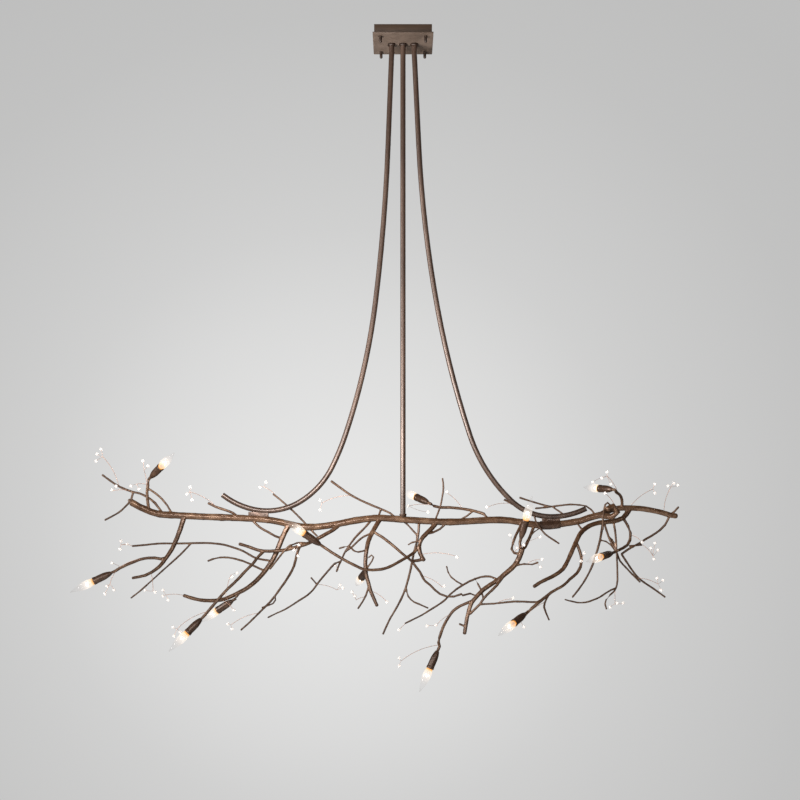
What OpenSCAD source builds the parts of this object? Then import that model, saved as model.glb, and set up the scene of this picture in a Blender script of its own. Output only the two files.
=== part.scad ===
// Branch chandelier: a square ceiling canopy, three hanging tubes and a forged branch with twelve lamps.
// Origin: centre of the canopy's top edge, on the ceiling. X runs along the branch, Z is up,
// and Y points away from the viewer.

/* [Canopy] */
// Side of the square canopy box
box_w = 170; // [160:1:178]
// Height of the canopy box
box_h = 24; // [20:1:40]
// Sheet thickness of the canopy box
box_wall = 1.5; // [1:0.1:3]
// Side of the square cover plate below the box
plate_w = 179; // [179:1:210]
// Thickness of the cover plate
plate_t = 4; // [3:0.5:8]
// Diameter of a finial nut
finial_d = 9; // [8:0.5:12]
// Length of a finial nut
finial_l = 20; // [18:1:30]
// Diameter of the threaded studs
stud_d = 5; // [4:0.1:6]

/* [Ceiling bracket] */
// Clearance between the bracket plate and each wall of the canopy box
bracket_gap = 7.5; // [4:0.1:9]
// Distance from the bracket plate's edge to the middle of a stud
stud_inset = 9.5; // [8:0.1:12]
// Thickness of the bracket plate
bracket_t = 2.5; // [2:0.1:4]
// Distance between the two outlet box screws
box_screw_pitch = 88.9; // [80:0.1:96]
// Diameter of each outlet box screw hole
box_screw_d = 4.6; // [4:0.1:6]
// Diameter of the supply wire hole
bracket_bore_d = 40; // [30:1:60]

/* [Hanging tubes] */
// Outer diameter of a hanging tube
tube_d = 15.9; // [14:0.1:18]
// Wall of a hanging tube
tube_wall = 2.6; // [2:0.1:2.8]
// Distance between neighbouring tubes at the canopy
tube_pitch = 34; // [30:1:40]
// Outer diameter of the collars below the canopy
collar_d = 24; // [22:1:28]
// Height of the collars
collar_h = 7; // [4:0.5:12]
// Outer diameter of the threaded nipples
nipple_d = 10; // [9:0.1:10]
// Bore of the threaded nipples
nipple_bore = 7; // [6.8:0.1:7.4]
// Diameter of the insulated wire bundle
wire_d = 6.4; // [5:0.1:6.6]
// Running clearance between parts that slip together
slip = 0.3; // [0.2:0.05:0.5]

/* [Branch] */
// Depth of the trunk's middle line below the ceiling
trunk_drop = 1450; // [1200:10:1600]
// Radius of the trunk
trunk_r = 10.1; // [9:0.1:11]
// Radius of the trunk's bore
trunk_bore_r = 6; // [5:0.1:6.5]
// Radius of the wiring loom in the trunk
loom_r = 5.3; // [4:0.1:5.5]
// Radius of the clamp sleeve below the right hanging tube
sleeve_r = 12.8; // [12:0.1:15]
// Size of one step of the layout grid
grid = 3; // [2.8:0.05:3.2]
// Radius of the arms that carry the lamps
arm_r = 4.7; // [4:0.1:5.5]

/* [Lamps] */
// Length of a lamp cup
cup_l = 57; // [52:1:62]
// Radius of a lamp cup at its rim
cup_r = 11.5; // [11.2:0.1:13]
// Wall of a lamp cup
cup_wall = 1.2; // [1:0.1:1.6]
// Radius of the lampholder
holder_r = 8.6; // [8:0.1:9]
// Radius of the bulb's cap
cap_r = 5.9; // [5.5:0.1:6.2]
// Length of the bulb's cap
cap_l = 19; // [16:1:20]
// Largest radius of the glass
glass_r = 12.6; // [11:0.1:14]
// Length of the glass beyond the cap
glass_l = 85; // [76:1:90]

/* [Sprays] */
// Diameter of the spray wires
spray_d = 1.5; // [1.2:0.1:2]
// Radius of the glass beads
bead_r = 4.6; // [3:0.1:5]

/* [Hidden] */
bracket_w = box_w - 2 * box_wall - 2 * bracket_gap;
finial_pitch = bracket_w - 2 * stud_inset;

bronze = [0.29, 0.21, 0.16];
dark_bronze = [0.2, 0.14, 0.1];
steel = [0.6, 0.6, 0.62];
copper = [0.72, 0.45, 0.33];
brass = [0.75, 0.6, 0.3];
insulator = [0.1, 0.09, 0.08];
clear_glass = [0.9, 0.92, 0.95];
lead_colour = [0.15, 0.15, 0.15];

// ---------------------------------------------------------------- layout of the branch
// Routes are drawn as a front elevation on a square grid: [across, back, up] in grid steps,
// measured from the centre tube and the trunk's middle line.
// place() sets a point back to its depth as it is seen from view_dist in front, at height sight_z.
view_dist = 4100;
sight_z = -trunk_drop - 54;
step_l = 24;

function place(p) =
  let (back = p[1] * grid, k = 1 + back / view_dist)
  [p[0] * grid * k, back, sight_z + (p[2] * grid - trunk_drop - sight_z) * k];
function places(route) = [for (p = route) place(p)];
function unit(v) = v / norm(v);

// smooth curve through the points p, with a new point about every step
function curve_point(a, b, c, d, t) =
  0.5 * (2 * b + (c - a) * t + (2 * a - 5 * b + 4 * c - d) * t * t + (3 * b - a - 3 * c + d) * t * t * t);
function curve(p, step = step_l) =
  let (last = len(p) - 1)
  concat(
    [for (i = [0:last - 1])
      let (n = ceil(norm(p[i + 1] - p[i]) / step))
      for (j = [0:n - 1])
        curve_point(p[max(i - 1, 0)], p[i], p[i + 1], p[min(i + 2, last)], j / n)],
    [p[last]]);
function heading(q, i) = unit(q[min(i + 1, len(q) - 1)] - q[max(i - 1, 0)]);
function ring(centre, dir, r, sides) =
  let (
    across = unit(cross(abs(dir[2]) < 0.9 ? [0, 0, 1] : [0, 1, 0], dir)),
    over = cross(dir, across))
  [for (k = [0:sides - 1])
    centre + r * (cos(360 * k / sides) * across + sin(360 * k / sides) * over)];

// turns the ring b so that its first point is the one nearest to the first point of ring a
function matched(a, b) =
  let (
    sides = len(a),
    gaps = [for (k = [0:sides - 1]) norm(b[k] - a[0])],
    near = min(gaps),
    shift = [for (k = [0:sides - 1]) if (gaps[k] == near) k][0])
  [for (k = [0:sides - 1]) b[(k + shift) % sides]];
function matched_rings(rings, i = 0, done = []) =
  i == len(rings) ? done
    : matched_rings(rings, i + 1, concat(done, [i == 0 ? rings[0] : matched(done[i - 1], rings[i])]));

// skin through a list of rings, closed at both ends
module skin(rings) {
  m = matched_rings(rings);
  sides = len(m[0]);
  last = len(m) - 1;
  polyhedron(
    points = [for (r = m) each r],
    faces = concat(
      [[for (k = [0:sides - 1]) k]],
      [for (i = [0:last - 1], k = [0:sides - 1])
        [i * sides + k, (i + 1) * sides + k, i * sides + (k + 1) % sides]],
      [for (i = [0:last - 1], k = [0:sides - 1])
        [i * sides + (k + 1) % sides, (i + 1) * sides + k, (i + 1) * sides + (k + 1) % sides]],
      [[for (k = [sides - 1:-1:0]) last * sides + k]]));
}

// a forged rod along the points q, in millimetres, tapering from radius r0 to r1 with a blunt tip
module rod_through(q, r0, r1, sides, flat_end) {
  last = len(q) - 1;
  dir = heading(q, last);
  skin(concat(
    [for (i = [0:last]) ring(q[i], heading(q, i), r0 + (r1 - r0) * i / last, sides)],
    flat_end ? [] : [ring(q[last] + dir * r1 * 0.5, dir, r1 * 0.6, sides)]));
}
module rod(p, r0, r1, sides = 6, flat_end = false) {
  rod_through(curve(p), r0, r1, sides, flat_end);
}

// rods along grid routes: each entry is [route, start radius, end radius]
module rods(list, sides = 6) {
  for (r = list)
    rod(places(r[0]), r[1], r[2], sides);
}

// ---------------------------------------------------------------- trunk
trunk_route = [
  [-272, -8, 16], [-263, -7, 11], [-253, -6, 6.5], [-243, -5, 3.5], [-233, -4, 3], [-223, -3, 2.5],
  [-193, -1, 1], [-163, 0, 0], [-138, 0, -1.5], [-123, 0, -4], [-103, 1, -8.5], [-88, 1, -9],
  [-68, 1, -6.5], [-48, 0, -2.5], [-28, 0, 0], [-13, 0, -0.5], [7, 0, -2], [47, 0, -4], [87, 0, -2],
  [107, 0, -2.5], [127, 0, -6], [142, 0, -7.5], [157, 0, -6], [177, -1, -3], [187, -2, 0.5],
  [197, -3, 3]
];
trunk_last = len(trunk_route) - 1;
knot_route = [
  trunk_route[trunk_last], [203, -5, 2], [209, -8, 1.2], [214.5, -10.5, 6], [210, -12.5, 12],
  [204.5, -14, 9]
];
sleeve_route = [[137, 0, -7.3], [147, 0, -7.3], [157, 0, -6]];
trunk_step = 36;
trunk_curve = curve(places(trunk_route), trunk_step);
trunk_rings = len(trunk_curve) - 1;
bore_first = 3;

// natural swellings along the trunk, about every tenth of its length
knuckle_every = 5;
module knuckle(i, swell) {
  hull()
    for (j = [-1:1])
      skin([
        for (e = [-1, 1])
          ring(
            trunk_curve[i + j] + heading(trunk_curve, i + j) * e,
            heading(trunk_curve, i + j), trunk_r * (j == 0 ? swell : 0.96), 8)
      ]);
}
module trunk_solid() {
  rod_through(trunk_curve, trunk_r, trunk_r, 8, true);
  rod(places([trunk_route[0] + [2, 0, -1.2], trunk_route[0], [-274, -8, 18]]), trunk_r * 0.9, trunk_r * 0.5, 8);
  rod(places(knot_route), trunk_r * 0.98, trunk_r * 0.85, 8);
  for (i = [4:knuckle_every:trunk_rings - 2])
    knuckle(i, 1.07);
}
module trunk_core(r, trim) {
  core = [for (i = [bore_first + trim:trunk_rings - 1 - trim]) i];
  skin([for (i = core) ring(trunk_curve[i], heading(trunk_curve, i), r, 6)]);
}

// ---------------------------------------------------------------- left branches
tip_main = [
  [-240, -5, 4], [-248, -2, 15], [-256, 1, 21], [-263, 4, 24.5], [-270, 7, 26], [-283, 11, 31],
  [-293, 14, 37.5], [-300.5, 17, 43]
];
tip_fork = [tip_main[4], [-272, 5, 18], [-278, 3, 11], [-285, 1, 5], [-298, -2, -2]];
tip_strut = [[-255, -8, 29.5], [-248, -6, 25], [-241, -5, 19], [-236, -5, 13], [-232, -4, 6]];
branch_left_tip_rods = [[tip_main, 4, 3.2], [tip_fork, 3.6, 2.8], [tip_strut, 3.4, 3.4]];

outer_main = [
  [-219, -3, 1], [-222, -6, -9], [-226, -9, -20], [-231, -12, -31], [-237, -15, -40], [-243, -18, -48],
  [-251, -21, -54], [-258, -23, -57.5], [-265, -24, -59], [-270.5, -25, -60]
];
limb_left_outer_rods = [[outer_main, 8, 4.4]];

long_main = [
  [-114, 0, -7], [-118, -1, -14], [-122, -2, -23], [-126, -4, -33], [-131, -6, -43], [-138, -8, -53],
  [-146, -10, -62], [-155, -12, -69.5], [-163, -13, -74], [-171, -13, -78], [-178, -13, -81],
  [-188, -12, -82.5], [-198, -11, -82.5], [-208, -10, -81], [-219, -9, -77.5]
];
long_upper = [
  long_main[4], [-146, -2, -40.5], [-153, 1, -37], [-160, 3, -33], [-168, 4, -30], [-178, 5, -27],
  [-188, 5, -25.5], [-198, 5, -25], [-223, 5, -25.5], [-243, 4, -25.5], [-258, 3, -27], [-270.5, 2, -28]
];
long_slant = [
  [-212, 5, -25.5], [-223, 5, -37], [-233, 5, -46], [-243, 4, -55], [-253, 4, -64], [-263, 3, -73],
  [-272, 3, -80]
];
long_lower = [
  long_main[5], [-149, -5, -48], [-154, -3, -45.5], [-160, -2, -43], [-167, -1, -41], [-175, 0, -39.5],
  [-183, 1, -39.5], [-190, 2, -41], [-195, 3, -43]
];
long_brace = [[-151, -1, -2], [-143, -3, -9.5], [-135, -4, -14], [-128, -4, -18], [-121, -2, -20.5]];
limb_left_long_rods = [
  [long_main, 8.6, 5.4], [long_upper, 3.6, 3.2], [long_slant, 3.2, 2.6], [long_lower, 3.4, 3],
  [long_brace, 3.8, 3.6]
];

middle_main = [
  [-64, 0, -7], [-70, -3, -12], [-77, -5, -16], [-85, -7, -20.5], [-94, -9, -25], [-103, -11, -28],
  [-110, -11.5, -30], [-118, -11, -32], [-128, -10, -33], [-139, -10, -33], [-147, -10.5, -31.5],
  [-155, -11, -28.5], [-163.5, -11, -26]
];
middle_drop = [
  middle_main[5], [-106, -8, -36], [-109, -4, -48], [-113, 0, -56], [-118, 4, -64], [-123, 6, -71],
  [-128, 8, -78], [-133, 9, -84], [-139, 10, -90], [-145, 11, -96], [-153, 12, -104], [-162, 13, -112]
];
middle_curl = [
  middle_drop[6], [-127.5, 6.5, -82], [-130, 6, -85.5], [-135, 7.5, -87.5], [-141, 9.5, -89.5]
];
middle_fork = [
  [-97, -9.5, -25], [-106, -9, -25], [-113, -12, -27.5], [-119, -13, -33], [-126, -12, -42], [-133, -12, -51]
];
limb_left_middle_rods = [
  [middle_main, 6.2, 5], [middle_drop, 4.4, 3], [middle_curl, 2.8, 2.6], [middle_fork, 3.4, 3]
];

// ---------------------------------------------------------------- centre branches
centre_main = [
  [-23, 0, -1], [-27, -3, -8], [-31, -6, -15], [-34.5, -9, -23], [-36.5, -12, -32], [-37.5, -14, -42],
  [-37.5, -16, -52], [-36, -17, -60], [-34, -18, -67], [-32, -19, -74], [-29, -20, -81],
  [-26, -21, -87.5]
];
centre_spur = [centre_main[8], [-37, -18, -77], [-40, -19, -83], [-45, -20, -90.5]];
centre_curl = [
  centre_main[6], [-31, -16, -43], [-29.5, -17, -39], [-31.5, -17, -37], [-34.5, -16, -39.5]
];
back_main = [
  [-31, 1, -1], [-37, 3, -8.5], [-43, 6, -14.5], [-49, 9, -21], [-54, 11, -28], [-58, 12, -34],
  [-62, 13, -43], [-64, 14, -47], [-66.5, 14, -53.5]
];
back_fork = [centre_main[2], [-39, -1, -18.5], [-45, 4, -23], [-51, 8, -29], back_main[5]];
back_long = [
  back_main[6], [-68, 13, -45.5], [-75, 13, -53], [-81, 13, -60], [-86, 12, -66.5], [-90, 12, -72],
  [-96, 11, -77.5], [-103, 10, -82], [-110, 10, -86.5], [-118, 9, -91.5], [-126, 9, -95],
  [-135, 8, -99.5]
];
back_spur = [[-92, 14, -59.5], [-89, 13, -63], back_long[4]];
back_bridge = [[-64, 13, -30.5], back_main[4], [-50, 4, -32], [-45, -3, -34], centre_main[4]];
limb_centre_rods = [
  [centre_main, 7.4, 5.4], [centre_spur, 3.4, 2.8], [centre_curl, 2.8, 2.4], [back_main, 3.8, 2.8],
  [back_fork, 3.4, 3], [back_long, 3.4, 2.6], [back_spur, 2.6, 2.6], [back_bridge, 2.8, 2.8]
];

fork_main = [
  [34, 0, -4], [29, -2, -10], [23, -4, -16], [18, -6, -22], [16, -8, -29], [17, -9, -35], [20, -10, -41],
  [21, -10, -42]
];
fork_foot = [fork_main[6], [15, -10.5, -42.5], [10, -11, -43]];
fork_root = [[43, -1, -5], [37, -2, -11], [30, -3, -14.5], [24, -4, -16]];
fork_spur = [[5, -6, -27], [9, -6, -24.5], [17, -6, -23]];
front_arc = [
  centre_main[1], [-30, -5, -13], [-21, -8, -19], [-13, -10, -25], [-6, -12, -31], [1, -13, -37],
  [5, -13, -40], [9, -12, -43.5], [13, -12, -49], [17, -12, -54], [20, -12, -60], [22, -12, -63],
  [27, -12, -67], [32, -13, -72], [37, -14, -76], [44, -17, -78.5], [51, -20, -78.5], [58.5, -22, -76]
];
limb_centre_right_rods = [
  [fork_main, 7.6, 6.6], [fork_foot, 5.6, 4.8], [fork_root, 3.6, 3.4], [fork_spur, 2.8, 2.8],
  [front_arc, 4.8, 3.4]
];

drop_main = [
  [16, 1, -4], [15.5, 0, -14], [14, -1, -24], [11, -3, -34], [9, -5, -44], [7, -7, -54], [3, -8, -69],
  [-1, -9, -79], [-6, -10, -89], [-12, -11, -99], [-16, -12, -107], [-20, -13, -116]
];
drop_fork = [drop_main[6], [5, -9, -78], [11, -10, -84], [18, -11, -87], [25, -12, -90]];
sweep_main = [
  [-72, 3, 37], [-63, 4, 30.5], [-53, 4, 23.5], [-43, 4, 18], [-33, 4, 13.5], [-22, 4, 9], [-13, 4, 5],
  [-8, 4, 1], [-1, 4, -3], [4, 4, -6], [9, 3, -11.5], [14, 1, -17], drop_main[2]
];
sweep_prop = [sweep_main[5], [-24, 2, 3]];
twigs_centre_rods = [
  [drop_main, 4, 3], [drop_fork, 3, 2.6], [sweep_main, 3.8, 3.2], [sweep_prop, 3.2, 3.2]
];

top_twig = [[39.5, 5, 40], [40.5, 4.5, 30], [39, 4, 20], [37.5, 3, 12], [35, 2, 5], [33, 1, 0]];
top_nub = [[70, 5.5, 7], [64, 7, 2], [59, 8, -0.5]];
arm_centre_top_rods = [[top_twig, 3, 3], [top_nub, 3.2, 3]];

// ---------------------------------------------------------------- low branch, right of centre
low_root = [[131, 0, -8], [128, -3, -16], [125, -6, -23], [122, -9, -29], [118, -12, -33]];
low_hook = [
  [118, -2, -5], [117, -4, -9], [113, -7, -17], [110, -9, -25], [108.5, -11, -31], [111, -12, -35],
  [117, -12.5, -36]
];
low_main = [
  [119, -12, -31], [116, -13, -40], [111, -14, -48], [102, -15, -56], [95, -15.5, -62], [87, -16, -67],
  [80, -17, -72], [74, -18, -78], [69, -19, -84], [66, -20, -92], [64, -21, -100], [62.5, -22, -109],
  [61.5, -23, -115.5]
];
low_nub = [low_main[11], [60, -21.5, -107.5], [56.5, -21, -106]];
low_strand = [
  low_main[3], [94, -19, -67], [87, -21, -74], [81, -22, -80], [77, -22, -86], [72, -22, -91],
  [67, -21, -96]
];
low_barb = [low_main[7], [67, -20, -75.5], [59.5, -22, -77.5]];
low_loop = [[71.5, -12, -60], [75, -13, -66], [78, -16, -72], [80, -19, -79], [80, -22, -82]];
low_twig = [
  low_main[4], [87, -12, -58.5], [78, -10, -59], [72, -9, -61], [66, -9, -63.5], [60, -9, -67],
  [53, -10, -71.5], [47, -11, -76.5], [42, -12, -82], [35, -13, -87], [27, -14, -92], [19, -15, -97],
  [11, -16, -101], [2, -17, -105.5]
];
low_spur = [[43.5, -4, -48], [45, -5, -54], [48, -7, -59], [53, -8, -63], low_twig[5]];
low_barb_right = [low_main[2], [121, -15, -46], [129, -16, -46.5], [135, -17, -44.5]];
limb_low_rods = [
  [low_root, 4.6, 5.4], [low_hook, 4.4, 4], [low_main, 8.6, 5.6], [low_nub, 3.4, 3],
  [low_strand, 4.4, 3.8], [low_barb, 3.4, 3], [low_loop, 3, 2.8], [low_twig, 3.6, 2.6],
  [low_spur, 2.8, 2.6], [low_barb_right, 3.2, 3]
];

// ---------------------------------------------------------------- right branches
right_main = [
  trunk_route[trunk_last], [204, 2, 6.5], [211, 5, 9], [219, 6, 10], [227, 7, 10], [237, 8, 9.5],
  [247, 9, 8], [257, 10, 6], [267, 11, 3], [273, 12, 2]
];
right_nub = [right_main[8], [272, 10, 7], [275.5, 9, 11]];
right_drop = [
  right_main[8], [262, 12, -7], [257, 12, -12], [250, 11, -17], [243, 10, -21], [237, 9, -25],
  [232, 8, -27.5], [225, 6, -31.5], [218.5, 5, -36]
];
right_tail = [
  right_drop[8], [223, 5, -43], [229, 6, -52], [235, 7, -59.5], [242, 8, -65], [251, 9, -71],
  [262, 10, -79]
];
right_barb = [[226, 8, -28], right_drop[6], [239, 9, -27]];
limb_right_rods = [
  [right_main, 9.4, 8.8], [right_nub, 4, 3], [right_drop, 3.8, 3.6], [right_tail, 3.6, 3],
  [right_barb, 3.2, 3]
];

front_main = [
  [226, 7, 8], [220, 5, 0], [209, 3, -3.5], [197, 0, -4.5], [187, -4, -7.5], [180, -8, -12.5],
  [177, -11, -16], [173, -15, -24], [169, -19, -33], [165, -22, -42], [160, -25, -51], [152, -28, -57],
  [144, -31, -61], [137, -33, -64.5], [131, -35, -68.5]
];
front_spur = [front_main[5], [177, -8, -9], [175, -7, -6.5]];
front_fork = [[145, -32, -78], [142, -31, -84], [141, -30, -89], [143, -29, -95], [146, -28, -102]];
front_bar = [
  [140, -34, -81], [134, -33, -84], [112, -30, -83.5], [92, -26, -85.5], [82, -23, -86], [76, -22, -86.5]
];
limb_right_front_rods = [
  [front_main, 8.2, 5.6], [front_spur, 3.4, 3], [front_fork, 3.4, 2.8], [front_bar, 3.4, 3]
];

hang_left = [
  [200, 1, -4], [198.5, 3, -14], [197, 5, -22], [194.5, 7, -32], [190, 9, -46], [187, 9, -53],
  [182, 9, -62], [176, 8, -71], [169.5, 7, -79]
];
hang_cross = [hang_left[2], [203, 4, -23.5], [208, 3, -27], [213, 0, -34]];
hang_middle = [
  [201, 2, -4], [204, 3, -14], [207, 2, -22], [211, 1, -29], [214, -0.5, -35], [217, 0, -43],
  [223, 1, -49.5], [229, 2, -56], [237, 3, -64]
];
hang_link = [[204.5, 2.9, -16.5], [209, 3, -21.5], [213.5, 0, -30]];
hang_right = [
  [210.5, 3, -4], [212, 2, -12], [213, 1, -22], [213.5, 0, -32], [214, -2, -42], [214.5, -3, -62],
  [213, -4, -70], [211.5, -4, -73], [207, -5, -77], [203, -6, -82], [202, -6, -86], [203.5, -7, -91]
];
hang_side = [
  hang_right[6], [208, -5, -72], [203, -7, -75], [197, -9, -79], [190, -11, -82], [182, -13, -84.5],
  [174, -14, -84.5], [167, -15, -83], [162, -16, -81.5]
];
hang_loop = [
  [200, -9, -12], [200, -9.5, -2], [200.5, -11, 6], [202, -13, 13], [204.5, -14, 15.5], [207, -13, 13]
];
twigs_right_rods = [
  [hang_left, 4, 3], [hang_cross, 2.8, 2.6], [hang_middle, 3.4, 2.8], [hang_link, 2.6, 2.6],
  [hang_right, 3.4, 2.6], [hang_side, 3, 2.6], [hang_loop, 3, 2.8]
];

top_arch = [
  [132, 5, 9.5], [142, 5, 10.5], [149, 5, 11.5], [157, 4, 12.5], [167, 3, 13.5], [177, 2, 13],
  [183, 1, 12], [188, 0, 8.5], [191, -1, 5]
];
top_upper = [[116.5, 7, 20.5], [127, 7, 17], [137, 6, 14], [145, 5, 12], top_arch[2]];
top_cross = [top_arch[2], [155, 3, 7.5], [160, 1, 4]];
top_stub = [[101, 3, 18.5], [106, 3, 16], [111, 1, 13]];
top_front = [
  [131, -1, 4], [133, -5, -4], [137, -6, -10], [142, -7, -16], [149, -8, -21], [156, -9, -25.5]
];
top_barb = [top_front[2], [131, -7, -14], [127, -8, -18.5]];
top_left = [[-195, -6, 15], [-188, -5, 11.5], [-178, -4, 8], [-170, -3, 5], [-165, -1, 1]];
top_slant = [
  [-130, 5, 24], [-123, 5, 18.5], [-116, 5, 12.5], [-110, 5, 7], [-104, 5, 1], [-98, 4, -5],
  [-92, 2, -12], [-86, -2, -18]
];
twigs_top_rods = [
  [top_arch, 3, 2.8], [top_upper, 3, 2.8], [top_cross, 2.8, 2.6], [top_stub, 4, 3.4],
  [top_front, 3.2, 2.8], [top_barb, 2.6, 2.6], [top_left, 4, 4.4], [top_slant, 3.2, 3.2]
];

// ---------------------------------------------------------------- lamps
// each lamp: route of its arm, foot of its cup on the grid, direction in which it points
LAMPS = [
  [[[-254, -6, 7], [-255.5, -7, 18], [-256, -8, 26], [-255, -9, 33]],
    [-252, -10, 41], [62, -60, 50]],
  [[outer_main[4], [-242, -16, -41], [-248, -16, -40], [-255, -16, -40], [-263, -15.5, -41.5],
      [-273, -15, -45.5], [-283, -14, -50]],
    [-292, -14, -55], [-90, -4, -43]],
  [[middle_main[9], [-145, -13, -39], [-150, -16, -45.5], [-156, -18, -51.5], [-163, -20, -59],
      [-169, -22, -65], [-175, -23, -70.5], [-181, -24, -77], [-187, -25, -84], [-193, -26, -91]],
    [-202, -27, -101], [-69, -15, -71]],
  [[long_main[8], [-167, -14, -79]],
    [-171, -15, -83], [-78, 35, -50]],
  [[fork_main[4], [11, -10, -34.5], [6, -14, -38], [0, -17, -41.5], [-7, -20, -45.5], [-15, -23, -49.5],
      [-23, -25, -51.5], [-31, -26, -52], [-39, -27, -51.5], [-47, -27, -48], [-55, -27, -44],
      [-63, -26, -39.5], [-72, -25, -34]],
    [-83, -24, -26.5], [-80, -20, 56]],
  [[[84, 1, 0], [81, 3, 4], [75, 5, 6], [67, 6, 8], [57, 7, 9.5], [47, 8, 10.5], [37, 9, 10.5],
      [31, 9, 12]],
    [25, 9, 15.5], [-58, 72, 29]],
  [[centre_main[5], [-37.3, -15, -46.5]],
    [-37, -10, -53], [-25, 90, -36]],
  [[[71, -18.5, -82], [64, -18, -85], [57, -17, -88], [50, -16, -93], [45, -15, -100], [41, -14, -107],
      [38, -13, -115], [35.5, -12, -124]],
    [34.5, -11, -133], [-40, -6, -90]],
  [[front_main[7], [177, -16, -34], [178.5, -17, -42], [177.5, -19, -49], [174, -22, -55],
      [167, -25, -61], [161, -27, -67], [154, -29, -71], [148, -31, -74.5], [145, -32, -77],
      [140, -34, -81], [135, -36, -85], [128, -37, -91]],
    [122, -39, -96], [-62, -63, -42]],
  [[[118, -12, -34], [117, -12.5, -27]],
    [118, -13, -20], [22, -28, 92]],
  [[front_main[1], [225, 5, -8], [227.5, 4, -15], [227, 2, -22], [224.5, -1, -27], [220, -5, -30],
      [215, -9, -32.5]],
    [209, -13, -35], [-66, -70, -18]],
  [[right_main[3], [219, 1, 18], [216.5, -5, 23.5], [213, -10, 26]],
    [209, -15, 28.5], [-52, 85, 8]]
];
lamp_n = len(LAMPS);
function lamp_foot(i) = place(LAMPS[i][1]);
function lamp_dir(i) = unit(LAMPS[i][2]);

// last stretch of an arm runs straight into the cup
arm_lead = 15;
module lamp_arm(n) {
  i = n - 1;
  foot = lamp_foot(i);
  rod(concat(places(LAMPS[i][0]), [foot - lamp_dir(i) * arm_lead, foot]), arm_r, arm_r, 6, flat_end = true);
}
module at_lamp(i) {
  dir = lamp_dir(i);
  translate(lamp_foot(i))
    rotate([0, acos(dir[2]), atan2(dir[1], dir[0])])
      children();
}

cup_foot_r = 5.4;
cup_wire_r = 2.2;
cup_floor = 22;
holder_base_t = 6;
contact_r = 2;
contact_h = 0.8;
glass_wall = 0.8;
holder_bottom = cup_floor + holder_base_t;
cap_bottom = holder_bottom + contact_h + slip;
cap_top = cap_bottom + cap_l;
holder_l = holder_base_t + cap_l;
unscrew_travel = cap_l - 1;

module cup_shape() {
  rotate_extrude($fn = 48)
    polygon([
      [cup_wire_r, 0], [cup_foot_r, 0], [cup_foot_r + 1.4, 4], [cup_foot_r + 3.4, 11],
      [cup_r - 0.9, cup_floor], [cup_r - 0.5, cup_l - 19], [cup_r - 0.8, cup_l - 9],
      [cup_r, cup_l - 6], [cup_r, cup_l], [cup_r - cup_wall, cup_l],
      [holder_r + slip, cup_floor + holder_l], [holder_r + slip, cup_floor], [cup_wire_r, cup_floor]
    ]);
}
module holder_shape() {
  rotate_extrude($fn = 48)
    polygon([
      [cup_wire_r, cup_floor], [holder_r, cup_floor], [holder_r, cup_floor + holder_l],
      [cap_r + slip, cup_floor + holder_l], [cap_r + slip, holder_bottom], [cup_wire_r, holder_bottom]
    ]);
}

// outline of the glass: [radius, height above the cap] as shares of its largest radius and length
glass_outline = [
  [0.48, 0], [0.56, 0.06], [0.82, 0.16], [0.98, 0.28], [1, 0.36], [0.93, 0.5], [0.72, 0.66],
  [0.42, 0.82], [0.18, 0.94], [0.06, 1]
];
glass_outer = [for (g = glass_outline) [g[0] * glass_r, cap_top + g[1] * glass_l]];
glass_last = len(glass_outer) - 1;
glass_inner = [
  for (i = [glass_last - 2:-1:1])
    [glass_outer[i][0] - glass_wall, glass_outer[i][1]]
];
mount_r = 2;
mount_l = 16;
module bulb_shape() {
  color(clear_glass)
    rotate_extrude($fn = 48)
      polygon(concat(
        [[0, cap_top]], glass_outer, [[0, glass_outer[glass_last][1]]],
        [[0, glass_outer[glass_last - 1][1]]], glass_inner,
        [[glass_outer[1][0] - glass_wall, cap_top + 3], [mount_r, cap_top + 3],
          [mount_r, cap_top + mount_l], [0, cap_top + mount_l]]));
  color(brass) {
    translate([0, 0, cap_bottom])
      cylinder(h = cap_l, r = cap_r, $fn = 48);
    translate([0, 0, cap_bottom - contact_h])
      cylinder(h = contact_h, r = contact_r, $fn = 32);
  }
}
module lamp_cup(n) {
  color(dark_bronze)
    at_lamp(n - 1)
      cup_shape();
}
module lamp_bulb(n) {
  at_lamp(n - 1)
    bulb_shape();
}
module lampholders() {
  color(insulator)
    for (i = [0:lamp_n - 1])
      at_lamp(i)
        holder_shape();
}

// ---------------------------------------------------------------- canopy and its fixings
plate_top = -box_h;
plate_bottom = -box_h - plate_t;
studs = [for (x = [-1, 1], y = [-1, 1]) [x * finial_pitch / 2, y * finial_pitch / 2, 0]];
tube_xs = [-tube_pitch, 0, tube_pitch];
tube_r = tube_d / 2;
tube_bore_r = tube_r - tube_wall;
nipple_r = nipple_d / 2;
nut_h = 5;
nut_r = 9;
nipple_top = plate_top + nut_h + 2;
nipple_grip = 15;
stud_grip = 14;
box_lip = 8;

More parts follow.
